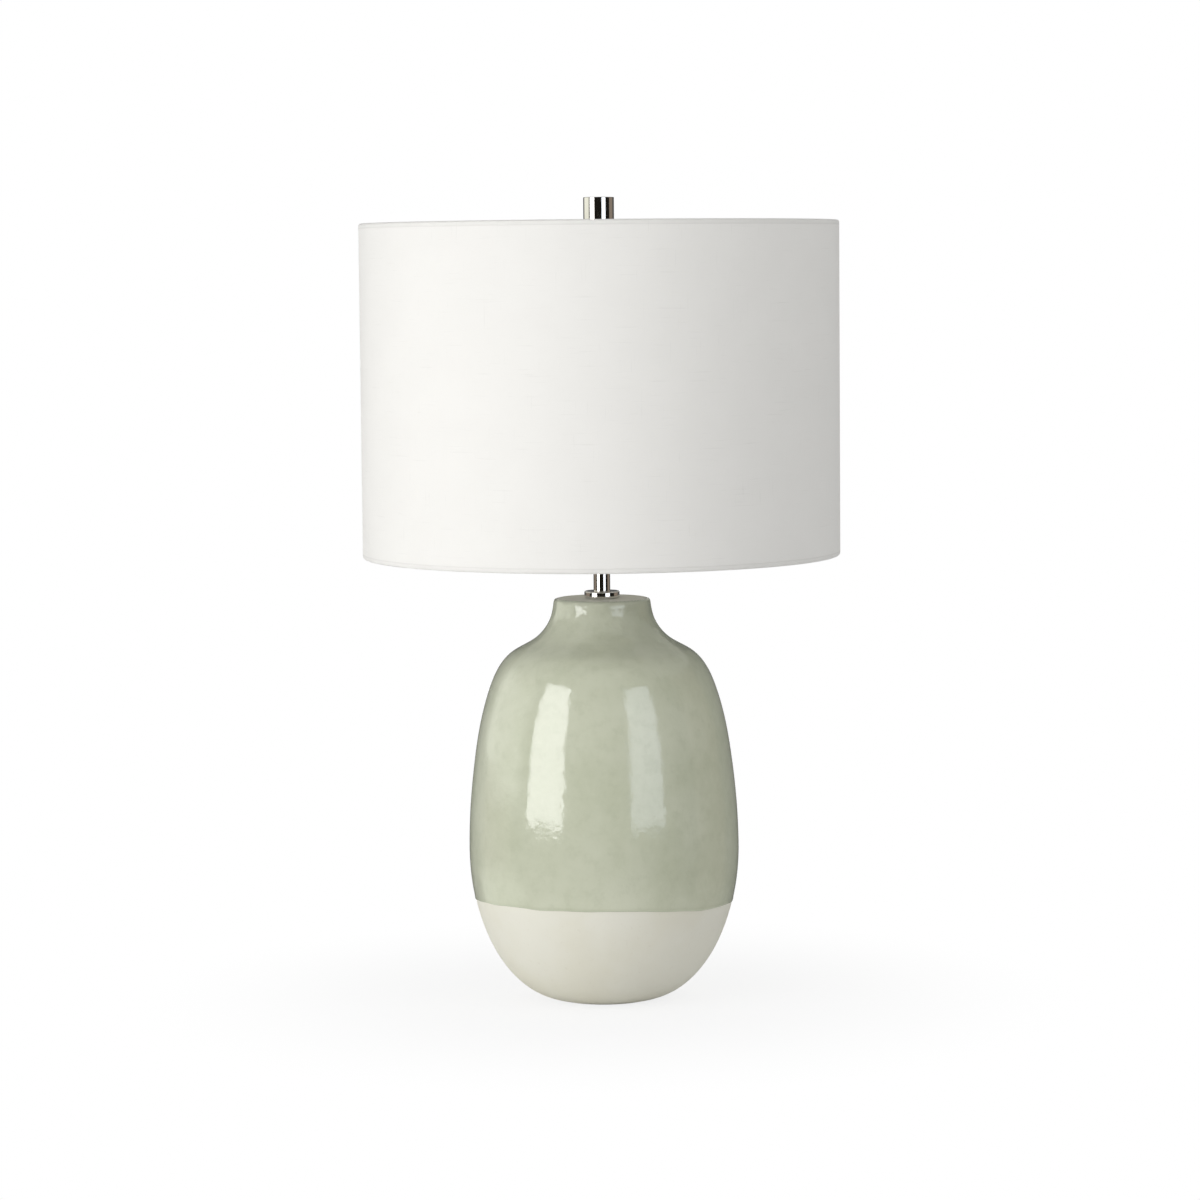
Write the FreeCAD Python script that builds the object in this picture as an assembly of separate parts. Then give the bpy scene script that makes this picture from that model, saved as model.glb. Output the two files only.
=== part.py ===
# Table lamp: a ceramic jar with a short flared neck carries a nickel stem, a lampholder with a
# turn switch, a wire harp and a linen drum shade that a cylindrical finial holds down.
#
# Frame: millimetres, +Z up, origin on the table at the centre of the foot. The front of the lamp
# faces -Y, the cord outlet and the shade's seam are at +Y, and the harp lies in the XZ plane.
# Every piece is a closed solid of its own, written to parts/<node name>.step.

import FreeCAD, Part
import math
import os

Vector = FreeCAD.Vector
X_AXIS = Vector(1, 0, 0)
Y_AXIS = Vector(0, 1, 0)
Z_AXIS = Vector(0, 0, 1)
ORIGIN = Vector(0, 0, 0)
OUT_FOLDER = "parts"

# ---------------------------------------------------------------- driving sizes
# Jar, slip-cast with an open foot and a closed neck. Heights are above the foot plane.
JAR_HEIGHT = 342.2
JAR_WALL = 6.0
BELLY_RADIUS = 115.0
BELLY_HEIGHT = 130.0
FOOT_RADIUS = 46.0
FOOT_OPENING_RADIUS = 30.0
LOWER_CURVE_CENTRE = 36.0  # radius of the centre of the lower body's quarter ellipse
# The upper body passes through these levels. Each drop is measured down from the rim.
UPPER_BELLY_RADIUS = 110.4
UPPER_BELLY_DROP = 144.0
SHOULDER_RADIUS = 97.5
SHOULDER_DROP = 80.0
SHOULDER_BREAK_RADIUS = 78.0
SHOULDER_BREAK_DROP = 46.6
NECK_HOLLOW_RADIUS = 56.5
NECK_HOLLOW_DROP = 33.6
NECK_RADIUS = 45.4
NECK_DROP = 20.0
RIM_RADIUS = 40.6
RIM_ROUNDING = 3.0

# Felt disc under the foot
FELT_RADIUS = 43.0
FELT_THICKNESS = 0.8

# Cord outlet in the back of the lower body, a snap-in bush square to the wall
OUTLET_HEIGHT = 40.0
OUTLET_BORE_RADIUS = 3.75
OUTLET_BARREL_RADIUS = 5.0
OUTLET_FLANGE_RADIUS = 7.5
OUTLET_FLANGE_THICKNESS = 1.8
OUTLET_LIP_RADIUS = 6.0
OUTLET_LIP_THICKNESS = 1.6

# Threaded tube and what it clamps
TUBE_RADIUS = 5.0
TUBE_BORE_RADIUS = 3.75
TUBE_TAIL = 4.0  # thread left free below the lower nut
NECK_WASHER_RADIUS = 20.0
NECK_WASHER_THICKNESS = 1.6
NECK_NUT_FLATS = 16.0
NECK_NUT_THICKNESS = 5.0
GASKET_RADIUS = 13.5
GASKET_THICKNESS = 0.8
COLLAR_RADIUS = 15.0
COLLAR_HEIGHT = 5.5
COLLAR_ROUNDING = 0.8
STEM_RADIUS = 7.1
STEM_LENGTH = 61.7

# Harp saddle, a bent strip with two upright tangs
SADDLE_SPAN = 58.0  # between the tangs' middles
SADDLE_THICKNESS = 1.6
SADDLE_WIDTH = 14.0
SADDLE_BEND_RADIUS = 4.0
SADDLE_SHOULDER_HEIGHT = 12.0
SADDLE_SHOULDER_WIDTH = 10.0
TANG_HEIGHT = 21.0
TANG_WIDTH = 5.6
SADDLE_NUT_FLATS = 16.0
SADDLE_NUT_THICKNESS = 3.2

# Harp, a wire bow with a flattened eye at its top
HARP_WIRE_RADIUS = 2.0
HARP_HEIGHT = 234.8  # saddle's underside to the middle of the eye
HARP_STRAIGHT = 30.0
HARP_FLARE_RADIUS = 120.0
HARP_FLARE_ANGLE = 14.0
EYE_RADIUS = 9.0
EYE_THICKNESS = 3.0
SLEEVE_RADIUS = 4.6
SLEEVE_HEIGHT = 16.0
SLEEVE_BORE_RADIUS = 3.4
SLEEVE_COLLAR_HEIGHT = 2.5

# Swivelling stud on the harp's eye
STUD_RADIUS = 3.1
STUD_PIVOT_RADIUS = 2.5
STUD_HEAD_RADIUS = 4.5
STUD_HEAD_THICKNESS = 1.5
STUD_SEAT_RADIUS = 6.5
STUD_SEAT_THICKNESS = 3.0
STUD_TIP_CHAMFER = 0.5

# Drum shade
SHADE_RADIUS = 203.0
SHADE_HEIGHT = 282.8
COVER_THICKNESS = 0.45
LINER_THICKNESS = 0.35
RING_WIRE_RADIUS = 1.0
HEM_DEPTH = 9.0  # turned-in edge of the cover below each ring
SPIDER_DROP = 9.4  # shade's top edge down to the top of the hub
HUB_RADIUS = 12.5
HUB_THICKNESS = 2.6
ARM_COUNT = 3
ARM_WIRE_RADIUS = 1.2
ARM_BACK_ANGLE = 90.0  # one arm points to the back, under the shade's seam
ARM_RISE_LENGTH = 30.0
ARM_BEND_RADIUS = 14.0
SEAM_WIDTH = 10.0  # lap of the cover up the back
SEAM_THICKNESS = 0.4

# Finial
FINIAL_RADIUS = 13.0
FINIAL_HEIGHT = 29.0
FINIAL_CHAMFER = 0.4
FINIAL_BORE_DEPTH = 11.5
FINIAL_ENGAGEMENT = 10.0  # thread of the stud inside the finial
FINIAL_WASHER_RADIUS = 9.0
FINIAL_WASHER_THICKNESS = 1.2

# Lampholder
CAP_HUB_RADIUS = 7.5
CAP_HUB_HEIGHT = 6.0
CAP_RADIUS = 17.8
CAP_DOME_HEIGHT = 16.0
CAP_RIM_HEIGHT = 4.0
CAP_THICKNESS = 0.7
SET_SCREW_RADIUS = 1.5
SET_SCREW_PROUD = 1.0
SHELL_HEIGHT = 43.0
SHELL_THICKNESS = 0.6
SHELL_IN_CAP = 5.0
SHELL_BEAD = 0.5
LINER_TUBE_THICKNESS = 0.7
HOLDER_CORE_RADIUS = 15.2
HOLDER_CORE_HEIGHT = 20.0
HOLDER_CORE_DROP = 2.5  # core's foot below the shell's lower edge
SCREW_SHELL_RADIUS = 14.4
SCREW_SHELL_THICKNESS = 0.4
SCREW_SHELL_HEIGHT = 26.0
SCREW_SHELL_FLOOR_HOLE = 7.0
CONTACT_WIDTH = 4.0
CONTACT_THICKNESS = 0.5
CONTACT_REACH = 5.0
CONTACT_RISE = 3.0

# Turn switch, its axis pointing to the front
SWITCH_HEIGHT = 14.0  # above the shell's lower edge
SWITCH_SHAFT_RADIUS = 1.6
SWITCH_SHAFT_DEPTH = 9.0  # from the lamp's axis to the shaft's inner end
KNOB_GAP = 3.5
KNOB_RADIUS = 5.5
KNOB_LENGTH = 11.0
KNOB_FLUTES = 12
KNOB_FLUTE_RADIUS = 0.8
KNOB_SOCKET_DEPTH = 7.0

# Bulb with a 27 mm screw cap
BULB_CAP_RADIUS = 13.1
BULB_CAP_THICKNESS = 0.35
BULB_CAP_HEIGHT = 22.0
BULB_INSULATOR_HEIGHT = 3.4
BULB_CONTACT_RADIUS = 4.6
BULB_CONTACT_HEIGHT = 1.6
BULB_NECK_RADIUS = 12.4
BULB_RADIUS = 30.0
BULB_CENTRE_HEIGHT = 75.0  # above the tip of the contact
BULB_GLASS_THICKNESS = 0.9

# ---------------------------------------------------------------- clearances
SLIP = 0.1  # a loose fit of still pieces
RUNNING = 0.05  # a pin or shaft that turns in its hole
WIRE_SLIDE = 0.12  # a sleeve on the harp wire
THREAD_SLACK = 0.2  # a plain bore round a thread that unscrews
GLUE_GAP = 0.2  # between the shade's cover and its liner
RING_GAP = 0.5  # between a ring and the cover rolled over it
CONTACT_GAP = 0.1  # bulb's tip above the holder's contact
BODY_GAP = 0.3  # between neighbours inside the lampholder

# ---------------------------------------------------------------- levels above the table
FOOT_PLANE = FELT_THICKNESS
RIM_PLANE = FOOT_PLANE + JAR_HEIGHT
NECK_CEILING = RIM_PLANE - JAR_WALL
NECK_NUT_BOTTOM = NECK_CEILING - NECK_WASHER_THICKNESS - NECK_NUT_THICKNESS
TUBE_BOTTOM = NECK_NUT_BOTTOM - TUBE_TAIL
COLLAR_BOTTOM = RIM_PLANE + GASKET_THICKNESS
STEM_BOTTOM = COLLAR_BOTTOM + COLLAR_HEIGHT
SADDLE_BOTTOM = STEM_BOTTOM + STEM_LENGTH
SADDLE_TOP = SADDLE_BOTTOM + SADDLE_THICKNESS
CAP_BOTTOM = SADDLE_TOP + SADDLE_NUT_THICKNESS
CAP_TOP = CAP_BOTTOM + CAP_HUB_HEIGHT + CAP_DOME_HEIGHT + CAP_RIM_HEIGHT
TUBE_TOP = CAP_BOTTOM + CAP_HUB_HEIGHT
SHELL_BOTTOM = CAP_TOP - SHELL_IN_CAP
SHELL_TOP = SHELL_BOTTOM + SHELL_HEIGHT
CORE_BOTTOM = SHELL_BOTTOM - HOLDER_CORE_DROP
CORE_TOP = CORE_BOTTOM + HOLDER_CORE_HEIGHT
BULB_TIP = CORE_TOP + CONTACT_RISE + CONTACT_GAP
TANG_SHOULDER = SADDLE_BOTTOM + SADDLE_SHOULDER_HEIGHT
TANG_TOP = SADDLE_BOTTOM + TANG_HEIGHT
EYE_MIDDLE = SADDLE_BOTTOM + HARP_HEIGHT
EYE_TOP = EYE_MIDDLE + EYE_THICKNESS / 2
EYE_BOTTOM = EYE_MIDDLE - EYE_THICKNESS / 2
HUB_BOTTOM = EYE_TOP + STUD_SEAT_THICKNESS
HUB_TOP = HUB_BOTTOM + HUB_THICKNESS
SHADE_TOP = HUB_TOP + SPIDER_DROP
SHADE_BOTTOM = SHADE_TOP - SHADE_HEIGHT
FINIAL_BOTTOM = HUB_TOP + FINIAL_WASHER_THICKNESS
STUD_TOP = FINIAL_BOTTOM + FINIAL_ENGAGEMENT

# Radii that follow from what a piece goes round or into
TUBE_HOLE_RADIUS = TUBE_RADIUS + SLIP
SHELL_RADIUS = CAP_RADIUS - CAP_THICKNESS - SLIP
LINER_TUBE_RADIUS = SHELL_RADIUS - SHELL_THICKNESS - SLIP
RING_ROLL_RADIUS = RING_WIRE_RADIUS + RING_GAP + COVER_THICKNESS
RING_CENTRE_RADIUS = SHADE_RADIUS - RING_ROLL_RADIUS
STUD_HOLE_RADIUS = STUD_RADIUS + THREAD_SLACK


# ---------------------------------------------------------------- shape helpers
def revolve(edges):
    """Closed profile edges in the XZ plane (x is the radius), spun a full turn about Z."""
    face = Part.Face(Part.Wire(edges))
    return face.revolve(ORIGIN, Z_AXIS, 360)


def polygon(points):
    """Straight edges that join (radius, height) points and close on the first one."""
    corners = [Vector(radius, 0, height) for radius, height in points]
    return [
        Part.makeLine(start, end)
        for start, end in zip(corners, corners[1:] + corners[:1])
    ]


def line(start, end):
    """A straight edge in the XZ plane between two (radius, height) points."""
    return Part.makeLine(Vector(start[0], 0, start[1]), Vector(end[0], 0, end[1]))


def arc(start, middle, end):
    """An arc in the XZ plane through three (radius, height) points."""
    points = [Vector(radius, 0, height) for radius, height in (start, middle, end)]
    return Part.Arc(*points).toShape()


def on_circle(centre, radius, degrees):
    """The (radius, height) point at an angle on a circle of the XZ plane."""
    angle = math.radians(degrees)
    return (centre[0] + radius * math.cos(angle), centre[1] + radius * math.sin(angle))


def disc(radius, bottom, thickness, bore=0.0):
    """A flat round piece about Z, with a bore if one is given."""
    solid = Part.makeCylinder(radius, thickness, Vector(0, 0, bottom))
    if bore:
        solid = solid.cut(Part.makeCylinder(bore, thickness, Vector(0, 0, bottom)))
    return solid


def hex_nut(flats, bottom, thickness, bore):
    """A hexagon nut about Z with chamfered corners, top and bottom."""
    corner = flats / 2 / math.cos(math.radians(30))
    points = [
        Vector(corner * math.cos(math.radians(60 * i)), corner * math.sin(math.radians(60 * i)), bottom)
        for i in range(7)
    ]
    prism = Part.Face(Part.makePolygon(points)).extrude(Z_AXIS * thickness)
    chamfer = (corner - flats / 2) * 0.6
    barrel = revolve(
        polygon(
            [
                (0, bottom),
                (corner - chamfer, bottom),
                (corner, bottom + chamfer),
                (corner, bottom + thickness - chamfer),
                (corner - chamfer, bottom + thickness),
                (0, bottom + thickness),
            ]
        )
    )
    return prism.common(barrel).cut(Part.makeCylinder(bore, thickness, Vector(0, 0, bottom)))


def along(shape, point, direction):
    """A shape modelled about Z, carried so that its origin is at point and its Z is direction."""
    moved = shape.copy()
    moved.Placement = FreeCAD.Placement(point, FreeCAD.Rotation(Z_AXIS, direction))
    return moved


def sweep(edges, wire_radius):
    """Round wire of one radius along a path of tangent edges."""
    path = Part.Wire(edges)
    first = edges[0]
    start = first.valueAt(first.FirstParameter)
    heading = first.tangentAt(first.FirstParameter)
    section = Part.Wire(Part.makeCircle(wire_radius, start, heading))
    return path.makePipeShell([section], True, False)


# ---------------------------------------------------------------- jar
class JarProfile:
    """The jar's outline: a quarter ellipse from the foot to the belly, then one smooth curve to the rim."""

    def __init__(self):
        self.belly_level = FOOT_PLANE + BELLY_HEIGHT
        self.width = BELLY_RADIUS - LOWER_CURVE_CENTRE
        foot_share = (FOOT_RADIUS - LOWER_CURVE_CENTRE) / self.width
        self.depth = BELLY_HEIGHT / math.sqrt(1 - foot_share**2)

    def lower_point(self, level, inset=0.0):
        """(radius, height) on the lower curve, or on the cavity's curve at an inset from it."""
        drop = (self.belly_level - level) / (self.depth - inset)
        reach = (self.width - inset) * math.sqrt(max(0.0, 1 - drop**2))
        return (LOWER_CURVE_CENTRE + reach, level)

    def lower_normal(self, level):
        """Outward (radial, vertical) direction of the lower curve."""
        radius, _ = self.lower_point(level)
        radial = (radius - LOWER_CURVE_CENTRE) / self.width**2
        vertical = (level - self.belly_level) / self.depth**2
        size = math.hypot(radial, vertical)
        return (radial / size, vertical / size)

    def lower_edge(self, inset=0.0):
        """The lower curve as an arc of an ellipse, from the foot or the cavity's floor to the belly."""
        centre = Vector(LOWER_CURVE_CENTRE, 0, self.belly_level)
        width = self.width - inset
        depth = self.depth - inset
        ellipse = Part.Ellipse(centre + Vector(0, 0, -depth), centre + Vector(width, 0, 0), centre)
        floor = self.belly_level - depth if inset else FOOT_PLANE
        start = Vector(self.lower_point(floor, inset)[0], 0, floor)
        end = Vector(BELLY_RADIUS - inset, 0, self.belly_level)
        first = ellipse.parameter(start)
        last = ellipse.parameter(end)
        if last < first:
            last += 2 * math.pi
        return Part.ArcOfEllipse(ellipse, first, last).toShape()

    def upper_curve(self, inset=0.0):
        """The curve from the belly to the rim plane, or the cavity's curve at an inset from it."""
        levels = [
            (BELLY_RADIUS, JAR_HEIGHT - BELLY_HEIGHT),
            (UPPER_BELLY_RADIUS, UPPER_BELLY_DROP),
            (SHOULDER_RADIUS, SHOULDER_DROP),
            (SHOULDER_BREAK_RADIUS, SHOULDER_BREAK_DROP),
            (NECK_HOLLOW_RADIUS, NECK_HOLLOW_DROP),
            (NECK_RADIUS, NECK_DROP),
            (RIM_RADIUS, 0.0),
        ]
        points = [Vector(radius, 0, RIM_PLANE - drop) for radius, drop in levels]
        rim_lean = Vector(RIM_RADIUS - NECK_RADIUS, 0, 2 * NECK_DROP).normalize()
        outer = Part.BSplineCurve()
        outer.interpolate(Points=points, InitialTangent=Z_AXIS, FinalTangent=rim_lean, Scale=True)
        if not inset:
            return outer
        inner_points = []
        for point in points:
            tangent = outer.tangent(outer.parameter(point))[0]
            inner_points.append(point + Vector(-tangent.z, 0, tangent.x) * inset)
        inner = Part.BSplineCurve()
        inner.interpolate(Points=inner_points, InitialTangent=Z_AXIS, FinalTangent=rim_lean, Scale=True)
        return inner

    def solid(self, inset=0.0):
        """The outline, or the cavity inside it, turned about Z up to the rim plane."""
        lower = self.lower_edge(inset)
        upper = self.upper_curve(inset).toShape()
        start = lower.Vertexes[0].Point if lower.Vertexes[0].Z < lower.Vertexes[1].Z else lower.Vertexes[1].Point
        end = upper.Vertexes[1].Point
        edges = [
            line((0, start.z), (start.x, start.z)),
            lower,
            upper,
            line((end.x, end.z), (0, end.z)),
            line((0, end.z), (0, start.z)),
        ]
        return revolve(edges)


JAR = JarProfile()
OUTLET_LEVEL = FOOT_PLANE + OUTLET_HEIGHT
OUTLET_RADIUS, _ = JAR.lower_point(OUTLET_LEVEL)
OUTLET_NORMAL = JAR.lower_normal(OUTLET_LEVEL)
OUTLET_POINT = Vector(0, OUTLET_RADIUS, OUTLET_LEVEL)
OUTLET_AXIS = Vector(0, OUTLET_NORMAL[0], OUTLET_NORMAL[1])
OUTLET_DEPTH = JAR_WALL + OUTLET_LIP_THICKNESS


def jar_body():
    """Ceramic shell: outside less cavity, with the foot opening, the neck hole and the cord hole."""
    outside = JAR.solid()
    rim = [
        edge
        for edge in outside.Edges
        if abs(edge.BoundBox.ZMin - RIM_PLANE) < 1e-3 and abs(edge.BoundBox.XMax - RIM_RADIUS) < 1e-2
    ]
    outside = outside.makeFillet(RIM_ROUNDING, rim)
    cavity = JAR.solid(JAR_WALL)
    above = Part.makeCylinder(BELLY_RADIUS, JAR_HEIGHT, Vector(0, 0, NECK_CEILING))
    shell = outside.cut(cavity.cut(above))
    shell = shell.cut(disc(FOOT_OPENING_RADIUS, FOOT_PLANE, 2 * JAR_WALL))
    shell = shell.cut(disc(TUBE_HOLE_RADIUS, NECK_CEILING - JAR_WALL, 3 * JAR_WALL))
    hole = Part.makeCylinder(OUTLET_BARREL_RADIUS + SLIP, 4 * JAR_WALL, Vector(0, 0, -2 * JAR_WALL))
    return shell.cut(along(hole, OUTLET_POINT, OUTLET_AXIS))


def cord_grommet(jar):
    """Snap-in bush: flange outside, barrel through the wall and lip inside, trimmed to the jar's curve."""
    back = -OUTLET_DEPTH
    lip_front = -JAR_WALL + OUTLET_LIP_THICKNESS
    raw = revolve(
        polygon(
            [
                (OUTLET_BORE_RADIUS, back),
                (OUTLET_LIP_RADIUS - 0.6, back),
                (OUTLET_LIP_RADIUS, back + 0.8),
                (OUTLET_LIP_RADIUS, lip_front),
                (OUTLET_BARREL_RADIUS, lip_front),
                (OUTLET_BARREL_RADIUS, -OUTLET_FLANGE_THICKNESS),
                (OUTLET_FLANGE_RADIUS, -OUTLET_FLANGE_THICKNESS),
                (OUTLET_FLANGE_RADIUS, OUTLET_FLANGE_THICKNESS / 2),
                (OUTLET_FLANGE_RADIUS - OUTLET_FLANGE_THICKNESS / 2, OUTLET_FLANGE_THICKNESS),
                (OUTLET_BORE_RADIUS, OUTLET_FLANGE_THICKNESS),
            ]
        )
    )
    placed = along(raw, OUTLET_POINT, OUTLET_AXIS)
    trimmed = placed.cut(jar)
    return max(trimmed.Solids, key=lambda solid: solid.Volume)


# ---------------------------------------------------------------- stem hardware
def neck_collar():
    """Turned flange on the jar's neck with a softened upper edge."""
    body = disc(COLLAR_RADIUS, COLLAR_BOTTOM, COLLAR_HEIGHT, TUBE_HOLE_RADIUS)
    upper = [
        edge
        for edge in body.Edges
        if abs(edge.BoundBox.ZMin - STEM_BOTTOM) < 1e-3 and edge.BoundBox.XMax > COLLAR_RADIUS - SLIP
    ]
    return body.makeFillet(COLLAR_ROUNDING, upper)


def harp_saddle():
    """Bent strip: a flat middle on the stem and two upright tangs that narrow above a shoulder."""
    half = SADDLE_SPAN / 2 + SADDLE_THICKNESS / 2
    outer = rounded_trough(half, SADDLE_BOTTOM, SADDLE_BEND_RADIUS)
    inner = rounded_trough(half - SADDLE_THICKNESS, SADDLE_TOP, SADDLE_BEND_RADIUS - SADDLE_THICKNESS)
    strip = outer.cut(inner)
    strip = strip.cut(disc(TUBE_HOLE_RADIUS, SADDLE_BOTTOM, SADDLE_THICKNESS))
    plan = saddle_side_profile()
    return strip.common(plan)


def rounded_trough(half_width, bottom, bend):
    """A block as wide as the saddle, up to the tangs' tops, with its two lower edges rounded."""
    block = Part.makeBox(
        2 * half_width, SADDLE_WIDTH, TANG_TOP - bottom, Vector(-half_width, -SADDLE_WIDTH / 2, bottom)
    )
    lower = [
        edge
        for edge in block.Edges
        if abs(edge.BoundBox.ZMax - bottom) < 1e-6 and edge.BoundBox.YLength > SADDLE_WIDTH / 2
    ]
    return block.makeFillet(bend, lower)


def saddle_side_profile():
    """What the strip keeps, seen along X: full width below, shoulder width, then the tang."""
    base = SADDLE_WIDTH / 2
    shoulder = SADDLE_SHOULDER_WIDTH / 2
    tang = TANG_WIDTH / 2
    taper_start = SADDLE_BOTTOM + SADDLE_BEND_RADIUS
    right = [
        (base, SADDLE_BOTTOM),
        (base, taper_start),
        (shoulder, TANG_SHOULDER - SADDLE_THICKNESS),
        (shoulder, TANG_SHOULDER),
        (tang, TANG_SHOULDER),
        (tang, TANG_TOP),
    ]
    left = [(-across, level) for across, level in reversed(right)]
    corners = [Vector(-SADDLE_SPAN, across, level) for across, level in right + left]
    face = Part.Face(Part.makePolygon(corners + corners[:1]))
    return face.extrude(X_AXIS * (2 * SADDLE_SPAN))


# ---------------------------------------------------------------- harp
def harp_path():
    """Centre line of the bow, left foot to right foot: straight leg, flare, slanted run, crown arc, top run."""
    foot = SADDLE_SPAN / 2
    flare = math.radians(HARP_FLARE_ANGLE)
    top_half = EYE_RADIUS - HARP_WIRE_RADIUS / 2
    flare_start = TANG_TOP + HARP_STRAIGHT
    flare_out = foot + HARP_FLARE_RADIUS * (1 - math.cos(flare))
    flare_end = flare_start + HARP_FLARE_RADIUS * math.sin(flare)
    # The crown's radius and the slanted run's length meet both the top's width and the bow's height.
    rise = EYE_MIDDLE - flare_end
    spread = flare_out - top_half
    climb = math.tan(flare)
    lift_per_radius = 1 + math.sin(flare)
    crown_radius = (spread + rise * climb) / (math.cos(flare) + lift_per_radius * climb)
    run = (rise - crown_radius * lift_per_radius) / math.cos(flare)
    knee = (flare_out + run * math.sin(flare), flare_end + run * math.cos(flare))
    crown_centre = (top_half, EYE_MIDDLE - crown_radius)
    flare_centre = (foot + HARP_FLARE_RADIUS, flare_start)
    half = [
        line((foot, TANG_TOP), (foot, flare_start)),
        arc(
            (foot, flare_start),
            on_circle(flare_centre, HARP_FLARE_RADIUS, 180 - HARP_FLARE_ANGLE / 2),
            (flare_out, flare_end),
        ),
        line((flare_out, flare_end), knee),
        arc(
            knee,
            on_circle(crown_centre, crown_radius, (90 - HARP_FLARE_ANGLE) / 2),
            (top_half, EYE_MIDDLE),
        ),
    ]
    return half


def harp_wire():
    """Both legs of the bow with the flattened eye that joins them."""
    right = sweep(harp_path(), HARP_WIRE_RADIUS)
    left = right.mirror(ORIGIN, X_AXIS)
    eye = disc(EYE_RADIUS, EYE_BOTTOM, EYE_THICKNESS)
    bow = eye.fuse([right, left]).removeSplitter()
    return bow.cut(disc(STUD_PIVOT_RADIUS + RUNNING, EYE_BOTTOM, EYE_THICKNESS))


def harp_sleeve(side):
    """Ferrule that slides down over a tang's top and the end of the wire, with a closer bore at its top."""
    top = TANG_SHOULDER + SLEEVE_HEIGHT
    wire_bore = HARP_WIRE_RADIUS + WIRE_SLIDE
    ferrule = revolve(
        polygon(
            [
                (SLEEVE_BORE_RADIUS, TANG_SHOULDER),
                (SLEEVE_RADIUS, TANG_SHOULDER),
                (SLEEVE_RADIUS, top - 1.5),
                (SLEEVE_RADIUS - 0.9, top),
                (wire_bore, top),
                (wire_bore, top - SLEEVE_COLLAR_HEIGHT),
                (SLEEVE_BORE_RADIUS, top - SLEEVE_COLLAR_HEIGHT - 1.0),
            ]
        )
    )
    ferrule.translate(X_AXIS * (side * SADDLE_SPAN / 2))
    return ferrule


def harp_stud():
    """Rivet-like stud: head below the eye, pivot through it, seat above and thread for the finial."""
    head_top = EYE_BOTTOM - RUNNING
    return revolve(
        polygon(
            [
                (0, head_top - STUD_HEAD_THICKNESS),
                (STUD_HEAD_RADIUS - 0.5, head_top - STUD_HEAD_THICKNESS),
                (STUD_HEAD_RADIUS, head_top - STUD_HEAD_THICKNESS + 0.5),
                (STUD_HEAD_RADIUS, head_top),
                (STUD_PIVOT_RADIUS, head_top),
                (STUD_PIVOT_RADIUS, EYE_TOP),
                (STUD_SEAT_RADIUS, EYE_TOP),
                (STUD_SEAT_RADIUS, HUB_BOTTOM),
                (STUD_RADIUS, HUB_BOTTOM),
                (STUD_RADIUS, STUD_TOP - STUD_TIP_CHAMFER),
                (STUD_RADIUS - STUD_TIP_CHAMFER, STUD_TOP),
                (0, STUD_TOP),
            ]
        )
    )


# ---------------------------------------------------------------- shade
def ring_level(end):
    """Height of a ring's middle: end is 1 for the top ring and -1 for the bottom one."""
    return SHADE_TOP - RING_ROLL_RADIUS if end > 0 else SHADE_BOTTOM + RING_ROLL_RADIUS


def shade_ring(end):
    """Wire ring inside the rolled edge."""
    return Part.makeTorus(RING_CENTRE_RADIUS, RING_WIRE_RADIUS, Vector(0, 0, ring_level(end)), Z_AXIS)


def rolled_end(end):
    """Edges of one end of the cover's section, from its outer wall round the ring to its inner wall."""
    level = ring_level(end)
    centre = (RING_CENTRE_RADIUS, level)
    outer = RING_ROLL_RADIUS
    inner = RING_ROLL_RADIUS - COVER_THICKNESS
    leg_outer = SHADE_RADIUS - COVER_THICKNESS - 2 * GLUE_GAP - LINER_THICKNESS
    leg_inner = leg_outer - COVER_THICKNESS
    leg_end = level - end * HEM_DEPTH
    # Where the turned-in leg meets the two circles of the roll
    outer_meet = level - end * math.sqrt(outer**2 - (leg_inner - RING_CENTRE_RADIUS) ** 2)
    inner_meet = level - end * math.sqrt(inner**2 - (leg_outer - RING_CENTRE_RADIUS) ** 2)
    return [
        arc((SHADE_RADIUS, level), on_circle(centre, outer, 90 * end), (RING_CENTRE_RADIUS - outer, level)),
        arc(
            (RING_CENTRE_RADIUS - outer, level),
            on_circle(centre, outer, -135 * end),
            (leg_inner, outer_meet),
        ),
        line((leg_inner, outer_meet), (leg_inner, leg_end)),
        line((leg_inner, leg_end), (leg_outer, leg_end)),
        line((leg_outer, leg_end), (leg_outer, inner_meet)),
        arc(
            (leg_outer, inner_meet),
            on_circle(centre, inner, -135 * end),
            (RING_CENTRE_RADIUS - inner, level),
        ),
        arc(
            (RING_CENTRE_RADIUS - inner, level),
            on_circle(centre, inner, 90 * end),
            (RING_CENTRE_RADIUS + inner, level),
        ),
    ]


def shade_cover():
    """Fabric drum rolled over the rings, lapped up the back and slit where the arms pass."""
    wall_inner = SHADE_RADIUS - COVER_THICKNESS
    outer_wall = line((SHADE_RADIUS, ring_level(-1)), (SHADE_RADIUS, ring_level(1)))
    inner_wall = line((wall_inner, ring_level(1)), (wall_inner, ring_level(-1)))
    edges = [outer_wall] + rolled_end(1) + [inner_wall] + rolled_end(-1)
    drum = revolve(Part.__sortEdges__(edges))
    return drum.fuse(shade_seam()).cut(shade_arms(GLUE_GAP))


def shade_seam():
    """Lap of the cover, a strip a little proud of the drum at the back."""
    bottom = ring_level(-1)
    height = ring_level(1) - bottom
    lap = disc(SHADE_RADIUS + SEAM_THICKNESS, bottom, height, SHADE_RADIUS - COVER_THICKNESS / 2)
    strip = Part.makeBox(SEAM_WIDTH, SHADE_RADIUS, height, Vector(-SEAM_WIDTH / 2, SHADE_RADIUS / 2, bottom))
    return lap.common(strip)


def shade_liner():
    """Stiff sheet behind the cover, between the two rings."""
    outer = SHADE_RADIUS - COVER_THICKNESS - GLUE_GAP
    bottom = ring_level(-1) + RING_WIRE_RADIUS
    top = ring_level(1) - RING_WIRE_RADIUS
    return disc(outer, bottom, top - bottom, outer - LINER_THICKNESS)


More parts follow.
